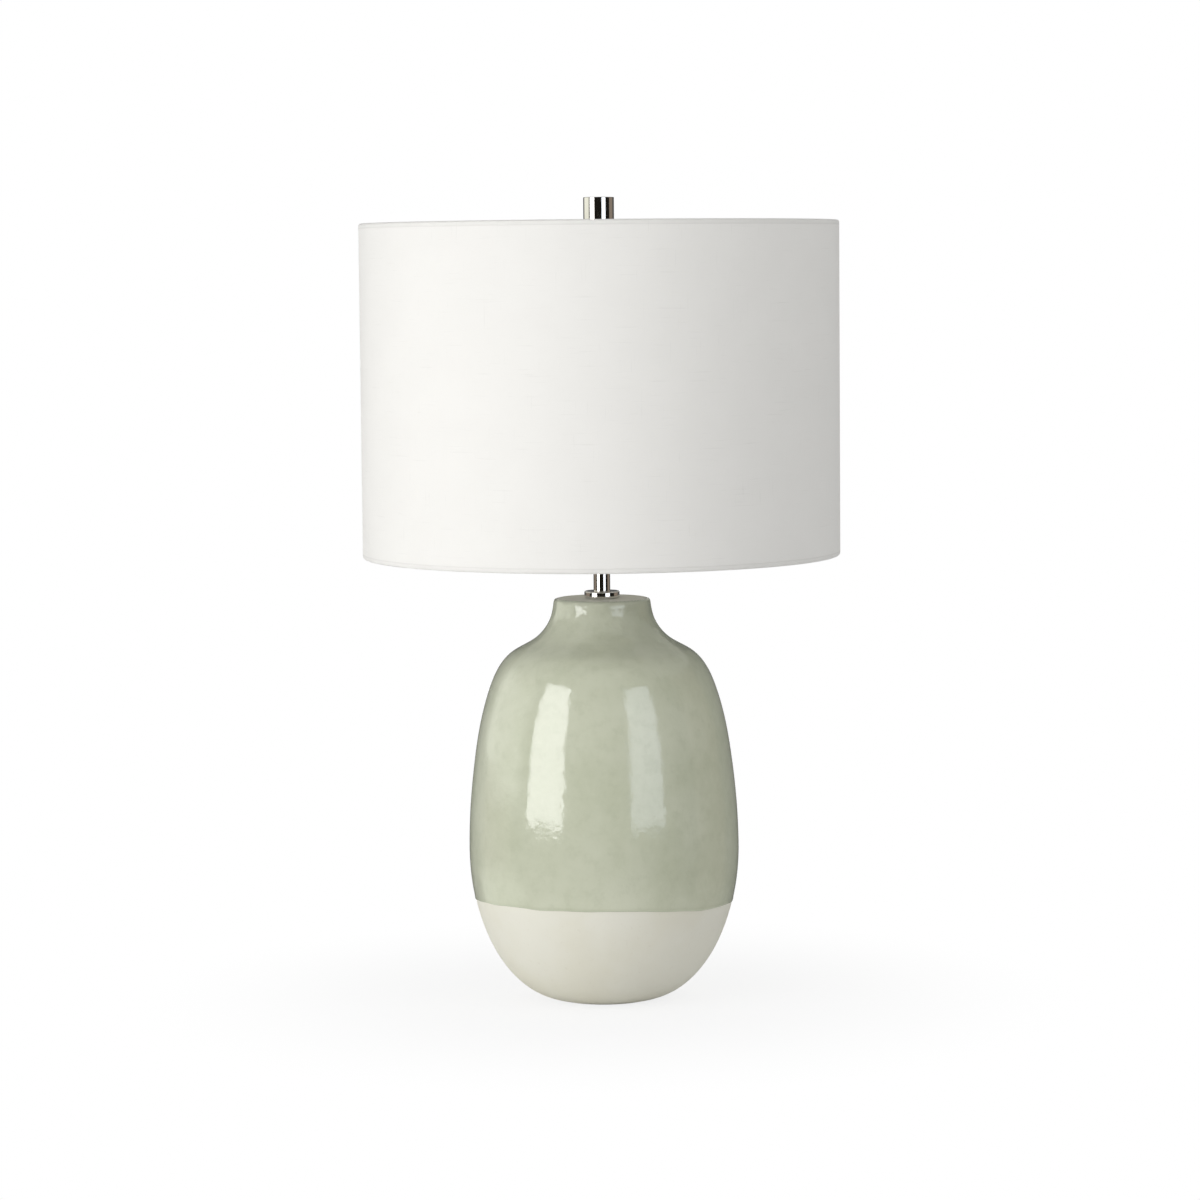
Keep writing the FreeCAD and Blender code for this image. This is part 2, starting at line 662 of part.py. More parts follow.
def shade_hub():
    """Washer in the middle of the spider, which the finial clamps on the stud's seat."""
    return disc(HUB_RADIUS, HUB_BOTTOM, HUB_THICKNESS, STUD_HOLE_RADIUS)


def shade_arms(spare=0.0):
    """Three wires from the hub, level and then rising to the top ring, welded at both ends.

    With some spare they are the thicker wires that cut the slits in the cover.
    """
    level = HUB_BOTTOM + HUB_THICKNESS / 2
    start = HUB_RADIUS - ARM_WIRE_RADIUS / 2
    end = RING_CENTRE_RADIUS - RING_WIRE_RADIUS / 2
    bend_start = end - ARM_RISE_LENGTH
    rise = ring_level(1) - level
    # Slope that a tangent arc and a straight run need to climb to the ring
    slope = 2 * math.atan2(
        ARM_RISE_LENGTH - math.sqrt(ARM_RISE_LENGTH**2 + rise**2 - 2 * ARM_BEND_RADIUS * rise),
        2 * ARM_BEND_RADIUS - rise,
    )
    bend_end = (bend_start + ARM_BEND_RADIUS * math.sin(slope), level + ARM_BEND_RADIUS * (1 - math.cos(slope)))
    bend_centre = (bend_start, level + ARM_BEND_RADIUS)
    path = [
        line((start, level), (bend_start, level)),
        arc(
            (bend_start, level),
            on_circle(bend_centre, ARM_BEND_RADIUS, -90 + math.degrees(slope) / 2),
            bend_end,
        ),
        line(bend_end, (end, ring_level(1))),
    ]
    arm = sweep(path, ARM_WIRE_RADIUS + spare)
    if not spare:
        arm = arm.cut(shade_hub()).cut(shade_ring(1)).Solids[0]
    arms = []
    for i in range(ARM_COUNT):
        turned = arm.copy()
        turned.rotate(ORIGIN, Z_AXIS, ARM_BACK_ANGLE + 360 / ARM_COUNT * i)
        arms.append(turned)
    return Part.makeCompound(arms)


# ---------------------------------------------------------------- finial
def finial():
    """Solid turned cylinder with a blind threaded bore."""
    top = FINIAL_BOTTOM + FINIAL_HEIGHT
    body = revolve(
        polygon(
            [
                (0, FINIAL_BOTTOM),
                (FINIAL_RADIUS - FINIAL_CHAMFER, FINIAL_BOTTOM),
                (FINIAL_RADIUS, FINIAL_BOTTOM + FINIAL_CHAMFER),
                (FINIAL_RADIUS, top - FINIAL_CHAMFER),
                (FINIAL_RADIUS - FINIAL_CHAMFER, top),
                (0, top),
            ]
        )
    )
    return body.cut(disc(STUD_HOLE_RADIUS, FINIAL_BOTTOM, FINIAL_BORE_DEPTH))


# ---------------------------------------------------------------- lampholder
def socket_cap():
    """Spun cap: a bored hub, a quarter-round dome and a short straight rim."""
    hub_top = CAP_BOTTOM + CAP_HUB_HEIGHT
    dome_top = hub_top + CAP_DOME_HEIGHT
    inner_radius = CAP_RADIUS - CAP_THICKNESS
    bore = TUBE_HOLE_RADIUS

    def dome_middle(hub, rim, low):
        """A point half way round the dome, on an ellipse from the hub to the rim."""
        turn = math.radians(45)
        return (hub + (rim - hub) * math.sin(turn), dome_top - (dome_top - low) * math.cos(turn))

    outer_low = hub_top
    inner_low = hub_top + CAP_THICKNESS
    edges = [
        line((bore, CAP_BOTTOM), (CAP_HUB_RADIUS, CAP_BOTTOM)),
        line((CAP_HUB_RADIUS, CAP_BOTTOM), (CAP_HUB_RADIUS, outer_low)),
        arc(
            (CAP_HUB_RADIUS, outer_low),
            dome_middle(CAP_HUB_RADIUS, CAP_RADIUS, outer_low),
            (CAP_RADIUS, dome_top),
        ),
        line((CAP_RADIUS, dome_top), (CAP_RADIUS, CAP_TOP)),
        line((CAP_RADIUS, CAP_TOP), (inner_radius, CAP_TOP)),
        line((inner_radius, CAP_TOP), (inner_radius, dome_top)),
        arc(
            (inner_radius, dome_top),
            dome_middle(CAP_HUB_RADIUS, inner_radius, inner_low),
            (CAP_HUB_RADIUS, inner_low),
        ),
        line((CAP_HUB_RADIUS, inner_low), (bore, inner_low)),
        line((bore, inner_low), (bore, CAP_BOTTOM)),
    ]
    cap = revolve(edges)
    screw_hole = Part.makeCylinder(SET_SCREW_RADIUS + RUNNING, CAP_HUB_RADIUS)
    return cap.cut(along(screw_hole, set_screw_start(), Y_AXIS))


def set_screw_start():
    """Inner end of the set screw, on the threaded tube."""
    return Vector(0, TUBE_HOLE_RADIUS, CAP_BOTTOM + CAP_HUB_HEIGHT / 2)


def cap_set_screw():
    """Small slotted screw that locks the cap on the tube, at the back."""
    length = CAP_HUB_RADIUS - TUBE_HOLE_RADIUS + SET_SCREW_PROUD
    slot_width = SET_SCREW_RADIUS * 0.4
    slot_depth = SET_SCREW_PROUD * 0.6
    screw = Part.makeCylinder(SET_SCREW_RADIUS, length)
    slot = Part.makeBox(
        slot_width,
        4 * SET_SCREW_RADIUS,
        slot_depth,
        Vector(-slot_width / 2, -2 * SET_SCREW_RADIUS, length - slot_depth),
    )
    return along(screw.cut(slot), set_screw_start(), Y_AXIS)


def switch_axis_point():
    """Where the switch shaft's line crosses the lamp's axis."""
    return Vector(0, 0, SHELL_BOTTOM + SWITCH_HEIGHT)


def front_hole(radius):
    """Cutter for a hole through the front wall on the switch shaft's line."""
    return along(Part.makeCylinder(radius, 2 * CAP_RADIUS), switch_axis_point(), -Y_AXIS)


def socket_shell():
    """Thin shell with a bead round its mouth and a hole for the switch shaft."""
    inner = SHELL_RADIUS - SHELL_THICKNESS
    bead_bottom = SHELL_TOP - 4 * SHELL_BEAD
    shell = revolve(
        polygon(
            [
                (inner, SHELL_BOTTOM),
                (SHELL_RADIUS, SHELL_BOTTOM),
                (SHELL_RADIUS, bead_bottom),
                (SHELL_RADIUS + SHELL_BEAD, bead_bottom + SHELL_BEAD),
                (SHELL_RADIUS + SHELL_BEAD, SHELL_TOP - SHELL_BEAD),
                (SHELL_RADIUS, SHELL_TOP),
                (inner, SHELL_TOP),
            ]
        )
    )
    return shell.cut(front_hole(SWITCH_SHAFT_RADIUS + BODY_GAP))


def socket_liner():
    """Insulating tube inside the shell."""
    tube = disc(
        LINER_TUBE_RADIUS, SHELL_BOTTOM, SHELL_HEIGHT, LINER_TUBE_RADIUS - LINER_TUBE_THICKNESS
    )
    return tube.cut(front_hole(SWITCH_SHAFT_RADIUS + BODY_GAP))


def socket_core():
    """Moulded insulator that carries the screw shell, the contact and the switch shaft."""
    core = disc(HOLDER_CORE_RADIUS, CORE_BOTTOM, HOLDER_CORE_HEIGHT)
    wire_way = disc(TUBE_BORE_RADIUS, CORE_BOTTOM, HOLDER_CORE_HEIGHT / 4)
    shaft_way = along(
        Part.makeCylinder(SWITCH_SHAFT_RADIUS + RUNNING, HOLDER_CORE_RADIUS),
        switch_axis_point() - Y_AXIS * SWITCH_SHAFT_DEPTH,
        -Y_AXIS,
    )
    return core.cut(wire_way).cut(shaft_way)


def screw_shell():
    """Metal cup that the bulb screws into, open at its floor for the contact."""
    bottom = CORE_TOP
    cup = disc(SCREW_SHELL_RADIUS, bottom, SCREW_SHELL_HEIGHT)
    well = disc(
        SCREW_SHELL_RADIUS - SCREW_SHELL_THICKNESS,
        bottom + SCREW_SHELL_THICKNESS,
        SCREW_SHELL_HEIGHT - SCREW_SHELL_THICKNESS,
    )
    return cup.cut(well).cut(disc(SCREW_SHELL_FLOOR_HOLE, bottom, SCREW_SHELL_THICKNESS))


def centre_contact():
    """Sprung tongue: a foot on the core, a rise and a flat tip under the bulb."""
    foot = CORE_TOP
    tip = CORE_TOP + CONTACT_RISE
    thick = CONTACT_THICKNESS
    outline = [
        (-CONTACT_REACH, foot),
        (-CONTACT_REACH / 3, foot),
        (CONTACT_REACH / 4, tip - thick),
        (CONTACT_REACH, tip - thick),
        (CONTACT_REACH, tip),
        (0, tip),
        (-CONTACT_REACH / 2, foot + thick),
        (-CONTACT_REACH, foot + thick),
    ]
    corners = [Vector(across, -CONTACT_WIDTH / 2, level) for across, level in outline]
    return Part.Face(Part.makePolygon(corners + corners[:1])).extrude(Y_AXIS * CONTACT_WIDTH)


def knob_start():
    """Distance from the lamp's axis to the knob's inner face."""
    return SHELL_RADIUS + KNOB_GAP


def switch_shaft():
    """Shaft from the core to inside the knob."""
    length = knob_start() + KNOB_SOCKET_DEPTH - SWITCH_SHAFT_DEPTH
    start = switch_axis_point() - Y_AXIS * SWITCH_SHAFT_DEPTH
    return along(Part.makeCylinder(SWITCH_SHAFT_RADIUS, length), start, -Y_AXIS)


def switch_knob():
    """Fluted knob pressed on the shaft."""
    knob = revolve(
        polygon(
            [
                (0, 0),
                (KNOB_RADIUS * 0.7, 0),
                (KNOB_RADIUS, KNOB_LENGTH * 0.25),
                (KNOB_RADIUS, KNOB_LENGTH - 1.0),
                (KNOB_RADIUS - 1.0, KNOB_LENGTH),
                (0, KNOB_LENGTH),
            ]
        )
    )
    knob = knob.cut(Part.makeCylinder(SWITCH_SHAFT_RADIUS, KNOB_SOCKET_DEPTH))
    for i in range(KNOB_FLUTES):
        turn = 2 * math.pi * i / KNOB_FLUTES
        spot = Vector(KNOB_RADIUS * math.cos(turn), KNOB_RADIUS * math.sin(turn), 0)
        knob = knob.cut(Part.makeCylinder(KNOB_FLUTE_RADIUS, KNOB_LENGTH, spot))
    return along(knob, switch_axis_point() - Y_AXIS * knob_start(), -Y_AXIS)


# ---------------------------------------------------------------- bulb
def bulb_contact():
    """Solder tip of the bulb's cap."""
    return revolve(
        polygon(
            [
                (0, BULB_TIP),
                (BULB_CONTACT_RADIUS * 0.6, BULB_TIP),
                (BULB_CONTACT_RADIUS, BULB_TIP + BULB_CONTACT_HEIGHT / 2),
                (BULB_CONTACT_RADIUS, BULB_TIP + BULB_CONTACT_HEIGHT),
                (0, BULB_TIP + BULB_CONTACT_HEIGHT),
            ]
        )
    )


def bulb_insulator():
    """Glass cone between the tip and the cap's shell."""
    bottom = BULB_TIP + BULB_CONTACT_HEIGHT
    top = bottom + BULB_INSULATOR_HEIGHT
    return revolve(
        polygon([(0, bottom), (BULB_CONTACT_RADIUS, bottom), (BULB_CAP_RADIUS - 1.5, top), (0, top)])
    )


def bulb_cap_bottom():
    """Level of the lower edge of the bulb's metal cap."""
    return BULB_TIP + BULB_CONTACT_HEIGHT + BULB_INSULATOR_HEIGHT


def bulb_cap():
    """Metal cap, a tube that turns in below to hold the insulator."""
    bottom = bulb_cap_bottom()
    outer = BULB_CAP_RADIUS
    inner = outer - BULB_CAP_THICKNESS
    lip = BULB_CAP_RADIUS - 2.5
    return revolve(
        polygon(
            [
                (lip, bottom),
                (outer - 1.5, bottom),
                (outer, bottom + 1.5),
                (outer, bottom + BULB_CAP_HEIGHT),
                (inner, bottom + BULB_CAP_HEIGHT),
                (inner, bottom + 1.5 + BULB_CAP_THICKNESS),
                (inner - 1.5, bottom + BULB_CAP_THICKNESS),
                (lip, bottom + BULB_CAP_THICKNESS),
            ]
        )
    )


def bulb_section(inset):
    """Edges of the glass outline from its neck to its crown, at an inset from the outside."""
    equator = BULB_TIP + BULB_CENTRE_HEIGHT
    neck_top = bulb_cap_bottom() + BULB_CAP_HEIGHT
    neck_bottom = neck_top - BULB_CAP_HEIGHT / 4
    radius = BULB_RADIUS - inset
    neck = BULB_NECK_RADIUS - inset
    cheek = BULB_NECK_RADIUS + (BULB_RADIUS - BULB_NECK_RADIUS) * 0.6 - inset
    cheek_level = neck_top + (equator - neck_top) * 0.5
    flank = Part.BSplineCurve()
    flank.interpolate(
        Points=[Vector(neck, 0, neck_top), Vector(cheek, 0, cheek_level), Vector(radius, 0, equator)],
        InitialTangent=Z_AXIS,
        FinalTangent=Z_AXIS,
        Scale=True,
    )
    crown = arc((radius, equator), on_circle((0, equator), radius, 45), (0, equator + radius))
    return [line((neck, neck_bottom), (neck, neck_top)), flank.toShape(), crown], neck_bottom


def bulb_glass():
    """Envelope of even thickness, open where the cap closes it."""
    outer, bottom = bulb_section(0.0)
    inner, _ = bulb_section(BULB_GLASS_THICKNESS)
    crown = BULB_TIP + BULB_CENTRE_HEIGHT + BULB_RADIUS
    foot = line((BULB_NECK_RADIUS, bottom), (BULB_NECK_RADIUS - BULB_GLASS_THICKNESS, bottom))
    tip = line((0, crown), (0, crown - BULB_GLASS_THICKNESS))
    return revolve(Part.__sortEdges__(outer + [tip] + inner + [foot]))


# ---------------------------------------------------------------- nodes
def build():
    """Every node of the lamp by name."""
    jar = jar_body()
    return {
        "jar_body": jar,
        "foot_felt": disc(FELT_RADIUS, 0, FELT_THICKNESS),
        "cord_grommet": cord_grommet(jar),
        "neck_washer": disc(
            NECK_WASHER_RADIUS, NECK_CEILING - NECK_WASHER_THICKNESS, NECK_WASHER_THICKNESS, TUBE_HOLE_RADIUS
        ),
        "neck_nut": hex_nut(NECK_NUT_FLATS, NECK_NUT_BOTTOM, NECK_NUT_THICKNESS, TUBE_HOLE_RADIUS),
        "threaded_tube": disc(TUBE_RADIUS, TUBE_BOTTOM, TUBE_TOP - TUBE_BOTTOM, TUBE_BORE_RADIUS),
        "neck_gasket": disc(GASKET_RADIUS, RIM_PLANE, GASKET_THICKNESS, TUBE_HOLE_RADIUS),
        "neck_collar": neck_collar(),
        "stem_sleeve": disc(STEM_RADIUS, STEM_BOTTOM, STEM_LENGTH, TUBE_HOLE_RADIUS),
        "harp_saddle": harp_saddle(),
        "saddle_nut": hex_nut(SADDLE_NUT_FLATS, SADDLE_TOP, SADDLE_NUT_THICKNESS, TUBE_HOLE_RADIUS),
        "socket_cap": socket_cap(),
        "cap_set_screw": cap_set_screw(),
        "socket_shell": socket_shell(),
        "socket_liner": socket_liner(),
        "socket_core": socket_core(),
        "screw_shell": screw_shell(),
        "centre_contact": centre_contact(),
        "switch_shaft": switch_shaft(),
        "switch_knob": switch_knob(),
        "bulb_contact": bulb_contact(),
        "bulb_insulator": bulb_insulator(),
        "bulb_cap": bulb_cap(),
        "bulb_glass": bulb_glass(),
        "harp_wire": harp_wire(),
        "harp_sleeve_left": harp_sleeve(-1),
        "harp_sleeve_right": harp_sleeve(1),
        "harp_stud": harp_stud(),
        "shade_hub": shade_hub(),
        "shade_arms": shade_arms(),
        "shade_top_ring": shade_ring(1),
        "shade_bottom_ring": shade_ring(-1),
        "shade_liner": shade_liner(),
        "shade_cover": shade_cover(),
        "finial_washer": disc(FINIAL_WASHER_RADIUS, HUB_TOP, FINIAL_WASHER_THICKNESS, STUD_HOLE_RADIUS),
        "finial": finial(),
    }


def main():
    """Writes one STEP file per node and prints what each one holds."""
    os.makedirs(OUT_FOLDER, exist_ok=True)
    for name, shape in build().items():
        shape.exportStep(os.path.join(OUT_FOLDER, name + ".step"))
        box = shape.BoundBox
        print(
            f"{name:18s} solids {len(shape.Solids)} valid {shape.isValid()} volume {shape.Volume:12.1f}"
            f"  z {box.ZMin:7.2f}..{box.ZMax:7.2f}"
        )


main()
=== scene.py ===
"""Table lamp: glazed jar, nickel stem, lampholder, harp, linen drum shade and cylindrical finial.

All sizes are in metres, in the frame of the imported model: +Z up, the origin on the table at the
centre of the foot, the front of the lamp towards -Y.
"""

from __future__ import annotations

import logging
import math
from bisect import bisect_right
from collections.abc import Callable, Mapping, Sequence
from dataclasses import dataclass, field
from enum import Enum
from functools import cache
from typing import TypeAlias

import bmesh
import bpy
from bmesh.types import BMEdge, BMesh, BMVert
from bpy.types import Material, Object
from mathutils import Matrix, Vector, noise


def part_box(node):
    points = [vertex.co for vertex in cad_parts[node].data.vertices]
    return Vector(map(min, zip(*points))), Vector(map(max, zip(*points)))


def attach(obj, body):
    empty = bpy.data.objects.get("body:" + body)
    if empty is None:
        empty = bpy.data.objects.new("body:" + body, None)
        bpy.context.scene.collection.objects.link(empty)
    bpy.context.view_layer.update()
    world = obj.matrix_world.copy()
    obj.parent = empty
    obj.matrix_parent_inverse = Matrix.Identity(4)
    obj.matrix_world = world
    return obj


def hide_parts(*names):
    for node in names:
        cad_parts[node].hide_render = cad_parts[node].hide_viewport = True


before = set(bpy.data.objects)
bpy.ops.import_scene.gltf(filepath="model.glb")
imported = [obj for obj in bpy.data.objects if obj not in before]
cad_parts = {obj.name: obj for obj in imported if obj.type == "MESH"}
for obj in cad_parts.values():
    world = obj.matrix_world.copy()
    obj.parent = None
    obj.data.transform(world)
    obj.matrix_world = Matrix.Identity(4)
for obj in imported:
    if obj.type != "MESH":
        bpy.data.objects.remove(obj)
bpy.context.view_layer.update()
LOG = logging.getLogger("lamp")

Colour: TypeAlias = tuple[float, float, float]
Point: TypeAlias = tuple[float, float]
Amount: TypeAlias = "Signal | float"
Settings: TypeAlias = Mapping[str, object]
Inputs: TypeAlias = Mapping[int | str, object]
WHITE: Colour = (1.0, 1.0, 1.0)
COOL: Colour = (0.93, 1.0, 1.12)


# ---------------- shader tools
def math_operator(operation: str, swapped: bool = False) -> Callable[[Signal, Amount], Signal]:
    """Makes an operator of Signal that adds one Math node.

    Args:
        operation: The node's operation.
        swapped: Whether the other amount comes first, as in a reflected operator.

    Returns:
        The operator.
    """

    def operate(signal: Signal, other: Amount) -> Signal:
        """Works on two amounts."""
        pair = {0: other, 1: signal} if swapped else {0: signal, 1: other}
        return signal.kit.node("ShaderNodeMath", {"operation": operation}, pair)

    return operate


@dataclass(frozen=True)
class Signal:
    """A node's output socket that Python's operators work on."""

    kit: ShaderKit
    socket: bpy.types.NodeSocket

    __add__ = math_operator("ADD")
    __radd__ = math_operator("ADD", swapped=True)
    __sub__ = math_operator("SUBTRACT")
    __rsub__ = math_operator("SUBTRACT", swapped=True)
    __mul__ = math_operator("MULTIPLY")
    __rmul__ = math_operator("MULTIPLY", swapped=True)
    __truediv__ = math_operator("DIVIDE")
    __rtruediv__ = math_operator("DIVIDE", swapped=True)
    at_least = math_operator("MAXIMUM")
    at_most = math_operator("MINIMUM")
    angle_from = math_operator("ARCTAN2")  # in radians, its tangent this over the other

    def __neg__(self) -> Signal:
        """Opposite."""
        return self * -1.0

    def __abs__(self) -> Signal:
        """Size without sign."""
        return self.kit.node("ShaderNodeMath", {"operation": "ABSOLUTE"}, {0: self})

    def sine(self) -> Signal:
        """Sine of an angle in radians."""
        return self.kit.node("ShaderNodeMath", {"operation": "SINE"}, {0: self})

    def ridge(self, half: float) -> Signal:
        """1 where this is 0, falling to 0 at half either side."""
        return (1.0 - abs(self) / half).at_least(0.0)

    def window(self, low: float, high: float, soft: float) -> Signal:
        """1 between low and high, with edges that are soft to either side, else 0."""
        return self.ease(low - soft, low + soft) * self.ease(high - soft, high + soft, 1.0, 0.0)

    def ease(self, low: float, high: float, start: float = 0.0, end: float = 1.0) -> Signal:
        """A smooth step from start at low to end at high.

        Args:
            low: Where the step starts.
            high: Where it ends.
            start: Result below low.
            end: Result above high.

        Returns:
            The eased value.
        """
        return self.kit.node(
            "ShaderNodeMapRange",
            {"interpolation_type": "SMOOTHSTEP", "clamp": True},
            {"Value": self, "From Min": low, "From Max": high, "To Min": start, "To Max": end},
        )


class ShaderKit:
    """Adds nodes to the tree of one material or of the world."""

    def __init__(self, owner: Material | bpy.types.World) -> None:
        """Empties the owner's tree.

        Args:
            owner: The material or world to fill.
        """
        self.owner = owner
        owner.use_nodes = True
        self.tree = owner.node_tree
        self.tree.nodes.clear()

    def node(
        self,
        kind: str,
        settings: Settings | None = None,
        inputs: Inputs | None = None,
        output: int | str = 0,
    ) -> Signal:
        """Makes any node but the output.

        Args:
            kind: The node's type.
            settings: Its own settings, set before its sockets.
            inputs: Values, colours or signals for its sockets, by name or number.
            output: The socket that is returned.

        Returns:
            The chosen output.
        """
        return Signal(self, self._make(kind, settings, inputs).outputs[output])

    def _make(self, kind: str, settings: Settings | None, inputs: Inputs | None) -> bpy.types.Node:
        """Adds a node, sets it and then its sockets.

        Args:
            kind: The node's type.
            settings: Its own settings.
            inputs: Values, colours or signals for its sockets.

        Returns:
            The node.
        """
        made = self.tree.nodes.new(kind)
        for name, value in (settings or {}).items():
            setattr(made, name, value)
        for name, value in (inputs or {}).items():
            socket = made.inputs[name]
            if isinstance(value, Signal):
                self.tree.links.new(value.socket, socket)
            else:
                socket.default_value = (*value, 1.0) if socket.type == "RGBA" else value
        return made

    def object_space(self) -> Signal:
        """Object coordinates, which move with the piece."""
        return self.node("ShaderNodeTexCoord", output="Object")

    def axes(self, vector: Signal) -> list[Signal]:
        """The three numbers of a vector."""
        outputs = self._make("ShaderNodeSeparateXYZ", None, {0: vector}).outputs
        return [Signal(self, output) for output in outputs]

    def scaled(self, vector: Signal, scale: tuple[float, float, float]) -> Signal:
        """A vector times another, number by number."""
        return self.node("ShaderNodeVectorMath", {"operation": "MULTIPLY"}, {0: vector, 1: scale})

    def noise(self, place: Signal, scale: float, detail: float = 3.0, roughness: float = 0.5) -> Signal:
        """Soft noise between 0 and 1.

        Args:
            place: Where it is read, in metres.
            scale: Features per metre.
            detail: How many finer layers it has.
            roughness: How much the finer layers weigh.

        Returns:
            The noise.
        """
        inputs = {"Vector": place, "Scale": scale, "Detail": detail, "Roughness": roughness}
        return self.node("ShaderNodeTexNoise", None, inputs)

    def blend(self, factor: Amount, first: Signal | Colour, second: Signal | Colour) -> Signal:
        """A colour between two, by a factor from 0 to 1."""
        return self.node("ShaderNodeMix", {"data_type": "RGBA"}, {0: factor, 6: first, 7: second}, output=2)

    def bump(
        self, height: Signal, distance: float, strength: float = 1.0, under: Signal | None = None
    ) -> Signal:
        """A normal from a height.

        Args:
            height: Height from 0 to 1.
            distance: The height of 1, in metres.
            strength: How much of it shows.
            under: A normal that this one lies on.

        Returns:
            The normal.
        """
        inputs: dict[int | str, object] = {"Strength": strength, "Distance": distance, "Height": height}
        if under is not None:
            inputs["Normal"] = under
        return self.node("ShaderNodeBump", None, inputs)

    def glow(self, colour: Colour, strength: float = 1.0) -> Signal:
        """A surface that shines evenly."""
        return self.node("ShaderNodeEmission", None, {"Color": colour, "Strength": strength})

    def background(self, colour: Signal | Colour, strength: float = 1.0) -> Signal:
        """A world that shines evenly."""
        return self.node("ShaderNodeBackground", None, {"Color": colour, "Strength": strength})

    def mix(self, factor: Amount, first: Signal, second: Signal) -> Signal:
        """A shader between two, by a factor from 0 to 1."""
        return self.node("ShaderNodeMixShader", None, {0: factor, 1: first, 2: second})

    def ray(self, kind: str) -> Signal:
        """1 for rays of one kind, such as Is Camera Ray, else 0."""
        return self.node("ShaderNodeLightPath", output=kind)

    def finish(self, shader: Signal) -> None:
        """Connects the shader to the output of the material or world."""
        owner = "World" if isinstance(self.owner, bpy.types.World) else "Material"
        self._make(f"ShaderNodeOutput{owner}", None, {"Surface": shader})

    def surface(self, inputs: Inputs) -> Material:
        """Finishes the material with a Principled shader of these inputs and returns it."""
        self.finish(self.node("ShaderNodeBsdfPrincipled", None, inputs))
        return self.owner


def new_material(name: str) -> ShaderKit:
    return ShaderKit(bpy.data.materials.new(name))


# ---------------- finishes
EDGE_ATTRIBUTE = "above_line"  # how far a point of the glaze lies above its lower edge, in metres


@dataclass(frozen=True)
class CeladonGlaze:
    """Sage glaze: mottled, a little deeper where it gathers along its lower edge, with a rippled gloss."""

    body: Colour = (0.55, 0.575, 0.435)
    pale: Colour = (0.615, 0.635, 0.50)
    deep: Colour = (0.46, 0.49, 0.355)
    cloud_scale: float = 14.0
    mottle_scale: float = 85.0
    fleck_scale: float = 420.0
    edge_reach: float = 0.006
    edge_share: float = 0.32  # how much of the deep colour shows along the lower edge
    gloss: tuple[float, float] = (0.055, 0.12)
    ior: float = 1.7
    ripple_scale: float = 75.0
    ripple_depth: float = 0.0012
    neck_levels: tuple[float, float] = (0.30, 0.325)  # where the gloss grows uneven
    calm: float = 0.19  # share of the ripple that is left below the neck
    pebble_scale: float = 240.0
    pebble_depth: float = 0.00011

    def material(self) -> Material:
        """Builds the glaze's material."""
        kit = new_material("celadon_glaze")
        place = kit.object_space()
        above = kit.node("ShaderNodeAttribute", {"attribute_name": EDGE_ATTRIBUTE}, output="Fac")
        cloud = kit.noise(place, self.cloud_scale, 4.0, 0.55)
        mottle = kit.noise(place, self.mottle_scale, 4.0, 0.62)
        fleck = kit.noise(place, self.fleck_scale, 3.0, 0.6)
        colour = kit.blend(cloud.ease(0.32, 0.7), self.body, self.pale)
        colour = kit.blend(mottle.ease(0.46, 0.72) * 0.3, colour, self.deep)
        colour = kit.blend(mottle.ease(0.3, 0.46, 1.0, 0.0) * 0.35, colour, self.pale)
        colour = kit.blend(fleck.ease(0.6, 0.78) * 0.16, colour, self.deep)
        colour = kit.blend(above.ease(0.0, self.edge_reach, self.edge_share, 0.0), colour, self.deep)
        _, _, level = kit.axes(place)
        ripple = kit.noise(place, self.ripple_scale, 1.5, 0.45)
        ripple = ripple * level.ease(*self.neck_levels, self.calm, 1.0)
        pebble = kit.noise(place, self.pebble_scale, 2.5)
        inputs = {
            "Base Color": colour,
            "Roughness": mottle.ease(0.25, 0.75, *self.gloss),
            "IOR": self.ior,
            "Normal": kit.bump(pebble, self.pebble_depth, under=kit.bump(ripple, self.ripple_depth)),
        }
        return kit.surface(inputs)


@dataclass(frozen=True)
class BareClay:
    """Unglazed cream stoneware with a fine tooth."""

    body: Colour = (0.775, 0.755, 0.645)
    speck: Colour = (0.65, 0.61, 0.50)
    pale: Colour = (0.80, 0.785, 0.69)
    cloud_scale: float = 18.0
    speck_scale: float = 260.0
    grain_scale: float = 900.0
    tooth: float = 0.00008
    matt: tuple[float, float] = (0.62, 0.8)
    ior: float = 1.45

    def material(self) -> Material:
        """Builds the clay's material."""
        kit = new_material("bare_clay")
        place = kit.object_space()
        cloud = kit.noise(place, self.cloud_scale)
        speck = kit.noise(place, self.speck_scale, 3.0, 0.7)
        grain = kit.noise(place, self.grain_scale, 3.0, 0.6)
        colour = kit.blend(cloud.ease(0.35, 0.65), self.body, self.pale)
        inputs = {
            "Base Color": kit.blend(speck.ease(0.58, 0.8) * 0.3, colour, self.speck),
            "Roughness": grain.ease(0.3, 0.7, *self.matt),
            "IOR": self.ior,
            "Normal": kit.bump(grain, self.tooth, 0.7),
        }
        return kit.surface(inputs)


@dataclass(frozen=True)
class Metal:
    """A plated or plain metal with faint polishing marks."""

    name: str
    colour: Colour
    roughness: float
    marks: float
    haze_scale: float = 55.0
    marks_scale: float = 900.0
    marks_run: tuple[float, float, float] = (1.0, 1.0, 12.0)  # packs the marks upwards: they go round
    marks_depth: float = 0.00004

    def material(self) -> Material:
        """Builds the metal's material."""
        kit = new_material(self.name)
        place = kit.object_space()
        haze = kit.noise(place, self.haze_scale)
        lines = kit.noise(kit.scaled(place, self.marks_run), self.marks_scale, 2.0)
        inputs = {
            "Base Color": self.colour,
            "Metallic": 1.0,
            "Roughness": haze.ease(0.3, 0.7, self.roughness * 0.75, self.roughness * 1.35),
            "Normal": kit.bump(lines, self.marks_depth, self.marks),
        }
        return kit.surface(inputs)


